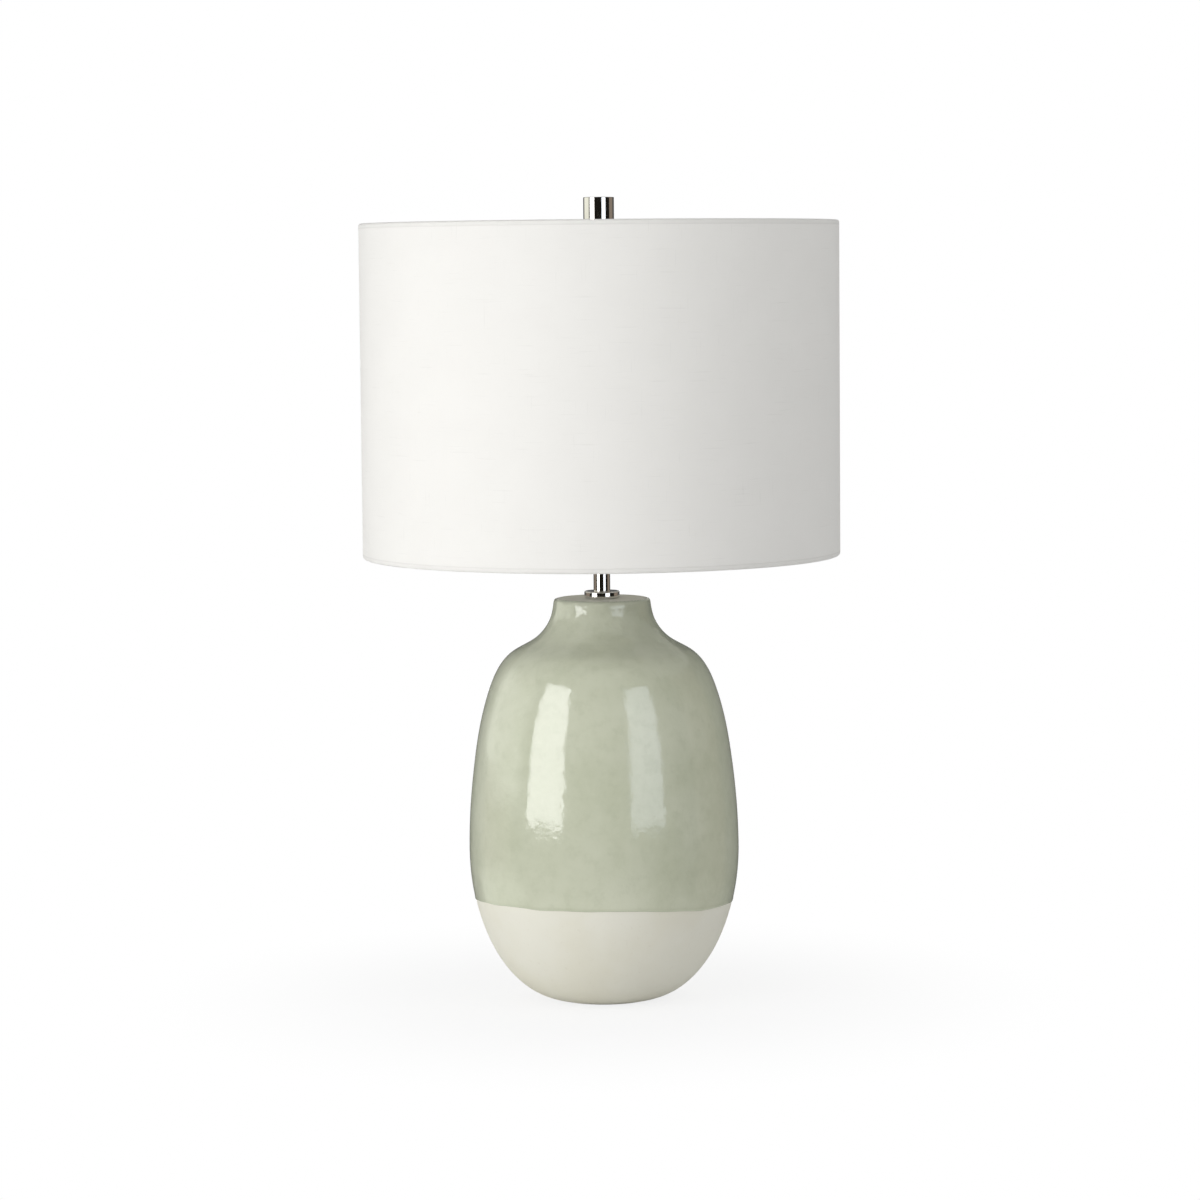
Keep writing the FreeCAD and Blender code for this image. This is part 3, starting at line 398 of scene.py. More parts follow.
@dataclass(frozen=True)
class Linen:
    """Plain-woven white linen with slubs, laid on the piece's UV map in metres, with painted shade along its
    hems and its lap.
    """

    thread: Colour = (0.865, 0.852, 0.818)
    gap: Colour = (0.765, 0.752, 0.72)
    # painted shade: the colour of the dark crease and lap lines and of the darker rolled hems
    shaded_crease: Colour = (0.60, 0.59, 0.565)
    pitch: float = 0.00062
    sway: float = 0.0006
    sway_scale: float = 70.0
    slub_scales: tuple[float, float] = (28.0, 620.0)  # along the slub and across it
    hem: float = 0.0040  # height of the rolled edge that shows outside
    crease_half: float = 0.0006
    lap: float = 0.005  # from the middle of the back to the lap's edge
    depth: float = 0.00012

    def material(self) -> Material:
        """Builds the cloth's material."""
        kit = new_material("white_linen")
        cloth = kit.node("ShaderNodeUVMap", {"uv_map": "cloth"})
        u, v, _ = kit.axes(cloth)
        turn = 2 * math.pi / self.pitch
        sway = kit.noise(cloth, self.sway_scale, 2.0) * self.sway
        weave = (((u + sway) * turn).sine() * ((v + sway) * turn).sine()) * 0.5 + 0.5
        slub_along = kit.noise(kit.scaled(cloth, (*self.slub_scales, 0.0)), 1.0, 2.0)
        slub_up = kit.noise(kit.scaled(cloth, (*self.slub_scales[::-1], 0.0)), 1.0, 2.0)
        slubs = slub_along.ease(0.62, 0.78) + slub_up.ease(0.64, 0.8)
        tone = weave * 0.35 + kit.noise(cloth, 22.0) * 0.25 + 0.4 - slubs * 0.3
        colour = kit.blend(tone.ease(0.0, 1.0), self.gap, self.thread)
        low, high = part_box("shade_cover")
        from_edge = (high.z - low.z) / 2 - abs(v - (low.z + high.z) / 2)
        # Painted shade: a dark line in the crease under each rolled hem, and the rolled band itself a little
        # darker; the crease line also dents the bump.
        shaded_crease = (from_edge - self.hem).ridge(self.crease_half)
        rolled = from_edge.ease(self.hem - self.crease_half, self.hem, 0.16, 0.0)
        colour = kit.blend((shaded_crease * 0.35 + rolled).at_most(1.0), colour, self.shaded_crease)
        # Painted shade: a thin dark line along the lap's edge at the back of the cloth.
        lap_edge_shade = (u + math.pi * high.x - self.lap).ridge(self.crease_half)
        inputs = {
            "Base Color": kit.blend(lap_edge_shade * 0.45, colour, self.shaded_crease),
            "Roughness": 0.85,
            "Specular IOR Level": 0.25,
            "Sheen Weight": 0.08,
            "Normal": kit.bump(weave * 0.5 + slubs * 0.6 - shaded_crease * 1.5, self.depth, 0.7),
        }
        return kit.surface(inputs)


@dataclass(frozen=True)
class Moulding:
    """Plastic, rubber, board or felt: one colour with a fine grain."""

    name: str
    colour: Colour
    shade: Colour
    roughness: float
    grain_scale: float
    grain_depth: float

    def material(self) -> Material:
        """Builds the material."""
        kit = new_material(self.name)
        place = kit.object_space()
        cloud = kit.noise(place, self.grain_scale * 0.12)
        grain = kit.noise(place, self.grain_scale)
        inputs = {
            "Base Color": kit.blend((cloud * 0.6 + grain * 0.4).ease(0.3, 0.7), self.colour, self.shade),
            "Roughness": grain.ease(0.3, 0.7, self.roughness * 0.9, min(1.0, self.roughness * 1.1)),
            "Normal": kit.bump(grain, self.grain_depth, 0.5),
        }
        return kit.surface(inputs)


@dataclass(frozen=True)
class OpalGlass:
    """White-coated bulb glass: milky, with a clear glossy skin."""

    milk: Colour = (0.86, 0.855, 0.835)
    skin: Colour = (0.80, 0.79, 0.76)

    def material(self) -> Material:
        """Builds the glass's material."""
        kit = new_material("opal_glass")
        haze = kit.noise(kit.object_space(), 40.0, 2.0)
        inputs = {
            "Base Color": kit.blend(haze.ease(0.35, 0.65), self.milk, self.skin),
            "Roughness": haze.ease(0.3, 0.7, 0.12, 0.2),
            "IOR": 1.5,
        }
        return kit.surface(inputs)


class Finish(Enum):
    """Every finish of the lamp."""

    GLAZE = CeladonGlaze()
    CLAY = BareClay()
    POLISHED_NICKEL = Metal("polished_nickel", (0.80, 0.775, 0.735), 0.07, 0.05)
    SATIN_NICKEL = Metal("satin_nickel", (0.66, 0.645, 0.61), 0.26, 0.5)
    ZINC_STEEL = Metal("zinc_steel", (0.58, 0.58, 0.57), 0.34, 0.6)
    BRASS = Metal("plain_brass", (0.74, 0.55, 0.27), 0.24, 0.4)
    ALUMINIUM = Metal("cap_aluminium", (0.76, 0.76, 0.76), 0.28, 0.3)
    LINEN = Linen()
    SHEET = Moulding("shade_sheet", (0.86, 0.855, 0.835), (0.83, 0.825, 0.80), 0.5, 260.0, 0.00003)
    FELT = Moulding("foot_felt", (0.045, 0.06, 0.045), (0.075, 0.09, 0.07), 0.95, 900.0, 0.0003)
    BUSH = Moulding("bush_plastic", (0.72, 0.69, 0.6), (0.68, 0.65, 0.56), 0.42, 500.0, 0.00005)
    PHENOLIC = Moulding("phenolic", (0.018, 0.016, 0.015), (0.03, 0.027, 0.025), 0.28, 600.0, 0.00004)
    BOARD = Moulding("pressed_board", (0.30, 0.22, 0.15), (0.24, 0.17, 0.11), 0.85, 350.0, 0.0001)
    GASKET = Moulding("clear_gasket", (0.62, 0.61, 0.57), (0.56, 0.55, 0.51), 0.45, 300.0, 0.00003)
    BLACK_GLASS = Moulding("black_glass", (0.012, 0.010, 0.014), (0.02, 0.018, 0.022), 0.1, 200.0, 0.00001)
    OPAL = OpalGlass()

    @cache
    def material(self) -> Material:
        """The finish's material, made on its first use."""
        return self.value.material()


def dress(finish: Finish, *pieces: str | Object) -> None:
    """Gives every slot of some pieces one finish.

    Args:
        finish: The finish.
        *pieces: The pieces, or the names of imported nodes.
    """
    for piece in pieces:
        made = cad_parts[piece] if isinstance(piece, str) else piece
        if not made.material_slots:
            made.data.materials.append(None)
        for part in made.material_slots:
            part.material = finish.material()


# ---------------- objects
def add_object(name: str, data: bpy.types.ID) -> Object:
    """Puts a new object into the scene.

    Args:
        name: Its name.
        data: Its mesh, light or camera.

    Returns:
        The object.
    """
    made = bpy.data.objects.new(name, data)
    bpy.context.scene.collection.objects.link(made)
    return made


def mesh_data(name: str, mesh: BMesh) -> bpy.types.Mesh:
    """Stores a mesh as data.

    Args:
        name: The data's name.
        mesh: The mesh, which is freed.

    Returns:
        The data.
    """
    data = bpy.data.meshes.new(name)
    mesh.to_mesh(data)
    mesh.free()
    return data


# ---------------- studio
@dataclass
class Panel:
    """Where a flat light or its bright reflection stands: upright, facing the lamp's axis."""

    azimuth: float
    width: float
    levels: tuple[float, float]
    distance: float = 1.6

    @property
    def place(self) -> Matrix:
        """The panel's place, with its face towards the axis."""
        turn = math.radians(self.azimuth)
        away = Vector((math.sin(turn), -math.cos(turn), 0.0)) * self.distance
        facing = (-away).to_track_quat("-Z", "Y").to_matrix().to_4x4()
        return Matrix.Translation(away + Vector((0.0, 0.0, sum(self.levels) / 2))) @ facing

    @property
    def height(self) -> float:
        """The panel's height."""
        return self.levels[1] - self.levels[0]


@dataclass
class Softbox:
    """One flat light, and the glowing panel that polished surfaces see in its place."""

    name: str
    light: Panel
    power: float
    reflection: Panel | None = None
    glow: float = 0.0
    tint: Colour = WHITE

    def build(self) -> None:
        """Makes the light and its reflection."""
        data = bpy.data.lights.new(f"{self.name}_softbox", "AREA")
        data.shape = "RECTANGLE"
        data.size = self.light.width
        data.size_y = self.light.height
        data.energy = self.power
        lamp = add_object(data.name, data)
        lamp.visible_glossy = False
        lamp.matrix_world = self.light.place
        if self.reflection:
            self._reflect(self.reflection)

    def _reflect(self, seen: Panel) -> None:
        """Makes a glowing panel that only glossy rays find.

        Args:
            seen: Where it stands.
        """
        mesh = bmesh.new()
        bmesh.ops.create_grid(mesh, x_segments=1, y_segments=1, size=0.5)
        bmesh.ops.scale(mesh, vec=(seen.width, seen.height, 1.0), verts=mesh.verts)
        bmesh.ops.transform(mesh, matrix=seen.place, verts=mesh.verts)
        data = mesh_data(f"{self.name}_softbox_panel", mesh)
        kit = new_material(f"{self.name}_softbox_glow")
        kit.finish(kit.glow(self.tint, self.glow))
        data.materials.append(kit.owner)
        panel = add_object(data.name, data)
        panel.visible_camera = False
        panel.visible_diffuse = False
        panel.visible_transmission = False
        panel.visible_shadow = False


@dataclass(frozen=True)
class Reflections:
    """What polished surfaces see round the softboxes: a dark room, its walls, a window and a pale floor.

    Azimuths are in degrees from the front, and levels are sines of the height above the horizon.
    """

    walls: tuple[float, float] = (87.0, 126.0)
    wall_soft: float = 1.5
    wall_colour: Colour = (0.27, 0.225, 0.185)
    room: Colour = (0.012, 0.011, 0.009)
    back: Colour = (0.10, 0.10, 0.10)
    floor: Colour = (0.75, 0.73, 0.67)
    floor_levels: tuple[float, float] = (-0.55, -0.2)
    window_side: tuple[float, float] = (-135.0, -78.0)
    window_soft: float = 9.0
    window_glow: Colour = (1.15, 1.17, 1.05)

    def colour(self, kit: ShaderKit) -> Signal:
        """The colour that a reflected ray finds.

        Args:
            kit: The world's kit.

        Returns:
            The colour.
        """
        x, y, z = kit.axes(kit.node("ShaderNodeTexCoord", output="Generated"))
        azimuth = x.angle_from(-y) * math.degrees(1.0)
        turned_away = abs(azimuth)
        behind = turned_away.ease(self.walls[1] - 2 * self.wall_soft, self.walls[1] + 2 * self.wall_soft)
        colour = kit.blend(behind, self.room, self.back)
        colour = kit.blend(turned_away.window(*self.walls, self.wall_soft), colour, self.wall_colour)
        colour = kit.blend(z.ease(*self.floor_levels, 1.0, 0.0), colour, self.floor)
        beside = azimuth.window(*self.window_side, self.window_soft)
        clear = z.ease(-0.04, 0.03) * z.ease(0.3, 0.6, 1.0, 0.25) + z.ease(-0.3, -0.14, 1.0, 0.0)
        return kit.blend(beside * clear, colour, self.window_glow)


@dataclass
class Studio:
    """Camera, lights, world and floor."""

    camera_distance: float = 3.28
    camera_elevation: float = 4.95
    camera_roll: float = 0.5
    camera_left: float = 0.0017
    target_height: float = 0.3413
    picture_scale: float = 1172.5  # pixels per metre at the target
    picture_width: int = 1200
    sensor: float = 36.0
    floor_radius: float = 9.0
    shadow_reach: tuple[float, float] = (0.06, 0.42)
    shadow_white: float = 0.82  # how white the floor is inside that reach
    fill: float = 0.41
    fill_colour: Colour = (0.98, 0.99, 1.0)
    floor_paper: Colour = (0.9, 0.9, 0.9)
    floor_drop: float = 0.0003  # below the felt's face, which would else share its plane
    reflections: Reflections = Reflections()
    softboxes: list[Softbox] = field(
        default_factory=lambda: [
            Softbox("key", Panel(-47.0, 1.2, (0.0, 1.25)), 15.0, Panel(-50.7, 0.93, (0.11, 1.49)), 4.4),
            Softbox("side", Panel(48.0, 1.1, (0.6, 1.9)), 7.4, Panel(37.5, 0.83, (0.11, 1.49)), 1.9, COOL),
            Softbox("back", Panel(172.0, 1.6, (0.3, 1.9)), 7.5),
        ]
    )

    def build(self) -> None:
        """Makes the whole studio."""
        self._camera()
        for softbox in self.softboxes:
            softbox.build()
        self._world()
        self._floor()
        bpy.context.scene.view_settings.view_transform = "Standard"
        LOG.info("studio: camera, %d lights, world and floor", len(self.softboxes))

    def _camera(self) -> None:
        """A long lens, a little above the lamp and looking down at it."""
        data = bpy.data.cameras.new("camera")
        data.sensor_width = self.sensor
        data.lens = self.sensor * self.picture_scale * self.camera_distance / self.picture_width
        data.clip_end = 50.0
        camera = add_object("camera", data)
        tilt = math.radians(self.camera_elevation)
        back = self.camera_distance * math.cos(tilt)
        rise = self.camera_distance * math.sin(tilt)
        place = Vector((-self.camera_left, -back, self.target_height + rise))
        look = Matrix.Rotation(math.radians(90.0) - tilt, 4, "X")
        roll = Matrix.Rotation(-math.radians(self.camera_roll), 4, "Z")
        camera.matrix_world = Matrix.Translation(place) @ look @ roll
        bpy.context.scene.camera = camera

    def _world(self) -> None:
        """White to the camera, a pale fill on the surfaces and the reflections in the gloss."""
        world = bpy.data.worlds.new("studio_world")
        bpy.context.scene.world = world
        kit = ShaderKit(world)
        fill = kit.background(self.fill_colour, self.fill)
        room = kit.background(self.reflections.colour(kit))
        lit = kit.mix(kit.ray("Is Glossy Ray"), fill, room)
        kit.finish(kit.mix(kit.ray("Is Camera Ray"), lit, kit.background(WHITE)))

    def _floor(self) -> None:
        """A round white floor that keeps a faint contact shadow and is clear from below."""
        mesh = bmesh.new()
        bmesh.ops.create_circle(mesh, cap_ends=True, segments=96, radius=self.floor_radius)
        bmesh.ops.translate(mesh, vec=(0.0, 0.0, -self.floor_drop), verts=mesh.verts)
        data = mesh_data("floor", mesh)
        floor = add_object("floor", data)
        floor.visible_glossy = False
        kit = new_material("studio_floor")
        seen = kit.ray("Is Camera Ray")
        away = kit.node("ShaderNodeVectorMath", {"operation": "LENGTH"}, {0: kit.object_space()}, "Value")
        white = away.ease(*self.shadow_reach, self.shadow_white, 1.0)
        paper = kit.node("ShaderNodeBsdfDiffuse", None, {"Color": self.floor_paper})
        lit = kit.mix(seen * white, paper, kit.glow(WHITE))
        under = kit.node("ShaderNodeNewGeometry", output="Backfacing")
        kit.finish(kit.mix(seen * under, lit, kit.node("ShaderNodeBsdfTransparent")))
        data.materials.append(kit.owner)


# ---------------- mesh tools
SHARP_ANGLE = math.radians(38.0)  # edges that turn by more stay sharp


def spin_round(mesh: BMesh, section: Sequence[BMVert | BMEdge], steps: int) -> None:
    """Spins a section a full turn round the lamp's axis, closes it and turns its faces outwards.

    Args:
        mesh: The mesh that holds the section.
        section: Its vertices and edges, in the XZ plane.
        steps: Faces round the axis.
    """
    bmesh.ops.spin(
        mesh,
        geom=section,
        cent=(0.0, 0.0, 0.0),
        axis=(0.0, 0.0, 1.0),
        dvec=(0.0, 0.0, 0.0),
        angle=math.tau,
        steps=steps,
        use_merge=True,
        use_duplicate=False,
    )
    bmesh.ops.remove_doubles(mesh, verts=mesh.verts, dist=1e-7)
    bmesh.ops.recalc_face_normals(mesh, faces=mesh.faces)


def turned(outline: Sequence[Point], steps: int, closed: bool = True) -> BMesh:
    """Spins an outline once round the lamp's axis.

    Args:
        outline: (radius, height) points, with the solid on their left as they go round.
        steps: Faces round the axis.
        closed: Whether the last point joins the first.

    Returns:
        The turned mesh, with its faces outwards.
    """
    mesh = bmesh.new()
    corners = [mesh.verts.new((radius, 0.0, height)) for radius, height in outline]
    ends = corners[1:] + corners[:1] if closed else corners[1:]
    edges = [mesh.edges.new(pair) for pair in zip(corners, ends)]
    spin_round(mesh, corners + edges, steps)
    return mesh


def round_arc(centre: Point, radius: float, start: float, end: float, steps: int) -> list[Point]:
    """Points on an arc of the outline's plane.

    Args:
        centre: Its centre, as (radius, height).
        radius: Its radius.
        start: First angle in degrees, 0 outwards and 90 up.
        end: Last angle in degrees.
        steps: Runs between the first point and the last.

    Returns:
        The points, ends included.
    """
    angles = [math.radians(start + (end - start) * i / steps) for i in range(steps + 1)]
    return [(centre[0] + radius * math.cos(a), centre[1] + radius * math.sin(a)) for a in angles]


class Outline:
    """The outside of a turned node, read along its seam and made a smooth curve."""

    def __init__(self, node: str) -> None:
        """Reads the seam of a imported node.

        Args:
            node: The node's name.
        """
        mesh = bmesh.new()
        mesh.from_mesh(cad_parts[node].data)
        bmesh.ops.remove_doubles(mesh, verts=mesh.verts, dist=1e-6)
        seam = {vert for vert in mesh.verts if abs(vert.co.y) < 1e-6 and vert.co.x > 0.0}
        widest = max(seam, key=lambda vert: vert.co.x)
        up = self._walk(widest, seam, 1)
        down = self._walk(widest, seam, -1)
        self.points = [Vector((vert.co.x, vert.co.z)) for vert in down[:0:-1] + up]
        mesh.free()
        self.reach = [0.0]
        for first, second in zip(self.points, self.points[1:]):
            self.reach.append(self.reach[-1] + (second - first).length)

    @staticmethod
    def _walk(start: BMVert, seam: set[BMVert], way: int) -> list[BMVert]:
        """Follows the seam from its widest vertex, as far as it keeps going up or down.

        Args:
            start: The widest vertex.
            seam: Every vertex of the seam.
            way: 1 to go up, -1 to go down.

        Returns:
            The vertices passed, with the start first.
        """
        path = [start]
        while True:
            ahead = [
                other
                for edge in path[-1].link_edges
                if (other := edge.other_vert(path[-1])) in seam
                and other not in path[-2:]
                and (other.co.z - path[-1].co.z) * way > -1e-7
                and other.co.x > 0.006
            ]
            if not ahead:
                return path
            path.append(max(ahead, key=lambda vert: abs(vert.co.z - path[-1].co.z) - vert.co.x * 1e-3))

    def at(self, distance: float) -> Vector:
        """Reads the curve, which passes smoothly through the seam's vertices.

        Args:
            distance: How far along the curve, from its lower end.

        Returns:
            The (radius, height) point.
        """
        place = max(1, min(len(self.points) - 2, bisect_right(self.reach, distance) - 1))
        share = (distance - self.reach[place]) / (self.reach[place + 1] - self.reach[place])
        if place + 2 >= len(self.points):
            return self.points[place].lerp(self.points[place + 1], min(share, 1.0))
        a, b, c, d = self.points[place - 1 : place + 3]
        curve = 2 * b + (c - a) * share
        curve += (2 * a - 5 * b + 4 * c - d) * share**2
        curve += (3 * b - a - 3 * c + d) * share**3
        return 0.5 * curve

    def normal(self, distance: float) -> Vector:
        """The outward direction at a distance along the curve."""
        along = (self.at(distance + 1e-4) - self.at(distance - 1e-4)).normalized()
        return Vector((along.y, -along.x))

    def distance_at(self, level: float) -> float:
        """Finds where the curve first reaches a height.

        Args:
            level: The height.

        Returns:
            The distance along the curve.
        """
        for i, (first, second) in enumerate(zip(self.points, self.points[1:])):
            if first.y <= level < second.y:
                share = (level - first.y) / (second.y - first.y)
                return self.reach[i] + share * (self.reach[i + 1] - self.reach[i])
        return self.reach[-1]


def threaded(
    mesh: BMesh, low: float, high: float, pitch: float, depth: float, sharp: float = 1.0
) -> None:
    """Cuts a helical thread into a turned mesh by moving its vertices inwards.

    Args:
        mesh: The mesh, turned about the lamp's axis.
        low: Height where the thread starts.
        high: Height where it ends.
        pitch: Height of one turn.
        depth: Depth of its root.
        sharp: 1 for a rounded thread, more for narrow crests.
    """
    for vert in mesh.verts:
        level = vert.co.z
        if not low < level < high:
            continue
        run_in = min(1.0, (level - low) / pitch, (high - level) / pitch)
        phase = level / pitch * math.tau - math.atan2(vert.co.y, vert.co.x)
        root = (0.5 - 0.5 * math.cos(phase)) ** (1.0 / sharp)
        radius = math.hypot(vert.co.x, vert.co.y)
        share = (radius - depth * root * run_in) / radius
        vert.co.x *= share
        vert.co.y *= share


def make_piece(
    name: str, mesh: BMesh, finish: Finish, body: str, stands_for: Sequence[str] = ()
) -> Object:
    """Makes a smooth-shaded object of a mesh, dresses it and sets it on its body.

    Args:
        name: The piece's name.
        mesh: Its mesh, which is freed.
        finish: Its finish.
        body: The body that it rides on.
        stands_for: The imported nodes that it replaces.

    Returns:
        The piece.
    """
    for face in mesh.faces:
        face.smooth = True
    data = mesh_data(name, mesh)
    data.set_sharp_from_angle(angle=SHARP_ANGLE)
    piece = add_object(name, data)
    weighted = piece.modifiers.new("weighted_normals", "WEIGHTED_NORMAL")
    weighted.keep_sharp = True
    dress(finish, piece)
    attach(piece, body)
    if stands_for:
        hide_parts(*stands_for)
    return piece


# ---------------- shade
@dataclass
class Shade:
    """Linen drum rolled over two wire rings, on a stiff liner, with a spider in its top."""

    ring_wire: float = 0.0010
    cloth: float = 0.00045
    roll_gap: float = 0.0005
    hem_depth: float = 0.009
    liner_gap: float = 0.00075  # between the cloth's inner face and the turned-in hem
    seam_width: float = 0.010
    seam_height: float = 0.0004
    steps: int = 288
    rows: int = 30
    roll_steps: int = 14

    def build(self) -> None:
        """Makes the cloth and dresses the rest."""
        self._cover()
        dress(Finish.ZINC_STEEL, "shade_hub", "shade_arms", "shade_top_ring", "shade_bottom_ring")
        dress(Finish.SHEET, "shade_liner")
        LOG.info("shade: cloth cover, liner, two rings and a spider")

    def _outline(self) -> list[Point]:
        """Draws the cloth's section: up the outside, round a ring, down the inside and round the other.

        Returns:
            Its (radius, height) points.
        """
        low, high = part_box("shade_cover")
        radius = high.x
        roll = self.ring_wire + self.roll_gap + self.cloth
        inner = roll - self.cloth
        axis = radius - roll
        top, bottom = high.z - roll, low.z + roll
        leg_outer = radius - self.cloth - self.liner_gap
        leg_inner = leg_outer - self.cloth
        outer_turn = math.degrees(math.acos((leg_inner - axis) / roll))
        inner_turn = math.degrees(math.acos((leg_outer - axis) / inner))
        levels = [bottom + (top - bottom) * i / self.rows for i in range(1, self.rows)]
        outline = [(radius, level) for level in levels]
        outline += round_arc((axis, top), roll, 0.0, 360.0 - outer_turn, self.roll_steps)
        outline += [(leg_inner, top - self.hem_depth), (leg_outer, top - self.hem_depth)]
        outline += round_arc((axis, top), inner, 360.0 - inner_turn, 0.0, self.roll_steps - 2)
        outline += [(radius - self.cloth, level) for level in reversed(levels)]
        outline += round_arc((axis, bottom), inner, 0.0, inner_turn - 360.0, self.roll_steps - 2)
        outline += [(leg_outer, bottom + self.hem_depth), (leg_inner, bottom + self.hem_depth)]
        outline += round_arc((axis, bottom), roll, outer_turn - 360.0, 0.0, self.roll_steps)
        return outline

    def _cover(self) -> None:
        """Cloth with a map in metres, raised along its lap at the back."""
        mesh = turned(self._outline(), self.steps)
        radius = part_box("shade_cover")[1].x
        lap = self.seam_width / 2
        for vert in mesh.verts:
            away = Vector((vert.co.x, vert.co.y))
            if vert.co.y > 0.0 and abs(vert.co.x) <= lap and away.length > radius - self.cloth / 2:
                raised = away.normalized() * (away.length + self.seam_height)
                vert.co.x, vert.co.y = raised
        layer = mesh.loops.layers.uv.new("cloth")
        for face in mesh.faces:
            middle = face.calc_center_median()
            turn = math.atan2(middle.x, -middle.y)
            for loop in face.loops:
                spot = loop.vert.co
                angle = math.atan2(spot.x, -spot.y)
                angle -= math.tau * round((angle - turn) / math.tau)
                loop[layer].uv = (angle * radius, spot.z)
        cover = make_piece("linen_cover", mesh, Finish.LINEN, "shade", ["shade_cover"])
        section = self._outline()
        around = sum(math.dist(a, b) for a, b in zip(section, section[1:] + section[:1]))


# ---------------- jar
@dataclass
class Jar:
    """Slip-cast jar of bare clay with a glaze coat that ends in a dipped line."""

    columns: int = 384
    coat: float = 0.00035
    bead: float = 0.00022  # how much thicker the coat is along its lower edge
    bead_reach: float = 0.0016
    anchor: float = 0.00015  # how deep the coat's inner face lies in the clay
    lip: float = 0.0005  # height over which the lower edge rounds in
    line_level: float = 0.0835
    line_tilt: float = 0.0075  # how much higher the line lies in front
    line_lean: float = 0.0020  # how much lower it lies at the right
    line_wander: float = 0.0022
    line_seed: float = 15.6
    line_fade: float = 0.045
    edge_rows: tuple[float, ...] = (0.03, 0.1, 0.2, 0.35, 0.5, 0.8, 1.2, 1.7, 2.3, 3.0, 4.0)  # millimetres
    row: float = 0.0023
    neck_row: float = 0.0009
    neck_run: float = 0.045  # length of the coat that has the neck's closer rows
    last_row: float = 0.0024
    inner_rows: int = 60
    top_radius: float = 0.0137
    top_reach: float = 0.004  # over which the coat thins out towards the collar
    unevenness: float = 0.00014
    felt_rounding: float = 0.00025

    def build(self) -> None:
        """Makes the glaze coat and the felt, and dresses what the jar holds."""
        self._coat()
        self._felt()
        dress(Finish.CLAY, "jar_body")
        dress(Finish.BUSH, "cord_grommet")
        dress(Finish.ZINC_STEEL, "neck_washer", "neck_nut", "threaded_tube")
        LOG.info("jar: clay body, glaze coat, felt, cord bush and neck fixings")

    def _coat(self) -> None:
        """Thin closed shell over the clay, from the dipped line over the rim to the collar."""
        outline = Outline("jar_body")
        start = outline.distance_at(self.line_level)
        reach = outline.reach[-1] - start
        while outline.at(start + reach).x < self.top_radius:
            reach -= 0.0002
        steps = [0.0] + [row / 1000 for row in self.edge_rows]
        while steps[-1] < reach - self.last_row:
            steps.append(steps[-1] + (self.row if steps[-1] < reach - self.neck_run else self.neck_row))
        steps.append(reach)
        inner_steps = [reach * i / self.inner_rows for i in range(self.inner_rows + 1)]

        mesh = bmesh.new()
        above = mesh.verts.layers.float.new(EDGE_ATTRIBUTE)
        side = mesh.verts.layers.float.new("outside")
        corners = []
        for outside, run in ((1.0, steps), (0.0, inner_steps[::-1])):
            apart = outside * 1e-4 - 5e-5  # keeps the two faces from merging
            for step in run:
                spot = outline.at(start + step) + outline.normal(start + step) * apart
                vert = mesh.verts.new((spot.x, 0.0, spot.y))
                vert[above] = step
                vert[side] = outside
                corners.append(vert)
        edges = [mesh.edges.new(pair) for pair in zip(corners, corners[1:] + corners[:1])]
        spin_round(mesh, corners + edges, self.columns)
        for vert in mesh.verts:
            self._place(vert, outline, (start, reach), vert[above], vert[side] > 0.5)
        bmesh.ops.recalc_face_normals(mesh, faces=mesh.faces)
        make_piece("glaze_coat", mesh, Finish.GLAZE, "base")

    def _line(self, x: float, y: float) -> float:
        """Says how far the dipped line lies above its mean height.

        Args:
            x: Right part of a direction from the axis.
            y: Its backward part.

        Returns:
            The height.
        """
        tilt = -y * self.line_tilt - x * self.line_lean
        wander = noise.noise(Vector((x * 1.3, y * 1.3, self.line_seed)))
        wander += 0.35 * noise.noise(Vector((x * 5.0, y * 5.0, 1.3)))
        return tilt + wander * self.line_wander

    def _place(self, vert: BMVert, outline: Outline, ends: Point, step: float, outside: bool) -> None:
        """Sets a vertex of the coat at its height above the dipped line and its distance from the clay.

        Args:
            vert: The vertex.
            outline: The clay's outline.
            ends: The line's mean place along the outline, and the coat's length from there.
            step: The vertex's own distance from there.
            outside: Whether it lies on the outer face.
        """
        start, reach = ends
        away = math.hypot(vert.co.x, vert.co.y)
        x, y = vert.co.x / away, vert.co.y / away
        fade = max(0.0, 1.0 - step / self.line_fade) ** 2
        place = start + step + self._line(x, y) * fade
        spot = outline.at(place)
        proud = -self.anchor
        if outside:
            lip = math.sqrt(max(0.0, 1.0 - (1.0 - min(1.0, step / self.lip)) ** 2))
            gathered = self.bead * math.exp(-(((step - self.bead_reach) / self.bead_reach) ** 2))
            thin = min(1.0, (reach - step) / self.top_reach + 0.25)
            around = Vector((x * away, y * away, spot.y))
            uneven = noise.noise(around * 24.0) * self.unevenness + noise.noise(around * 70.0) * 0.00003
            proud = lip * (self.coat * thin + gathered + uneven * thin)
        spot = spot + outline.normal(place) * proud
        vert.co = (x * spot.x, y * spot.x, spot.y)

    def _felt(self) -> None:
        """Felt disc with soft edges under the foot."""
        low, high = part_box("foot_felt")
        radius, soft = high.x, self.felt_rounding
        outline = [(0.0, low.z), (radius * 0.5, low.z)]
        outline += round_arc((radius - soft, low.z + soft), soft, -90.0, 0.0, 4)
        outline += round_arc((radius - soft, high.z - soft), soft, 0.0, 90.0, 4)
        outline += [(radius * 0.5, high.z), (0.0, high.z)]
        mesh = turned(outline, 96, closed=False)
        felt = make_piece("felt_disc", mesh, Finish.FELT, "base", ["foot_felt"])


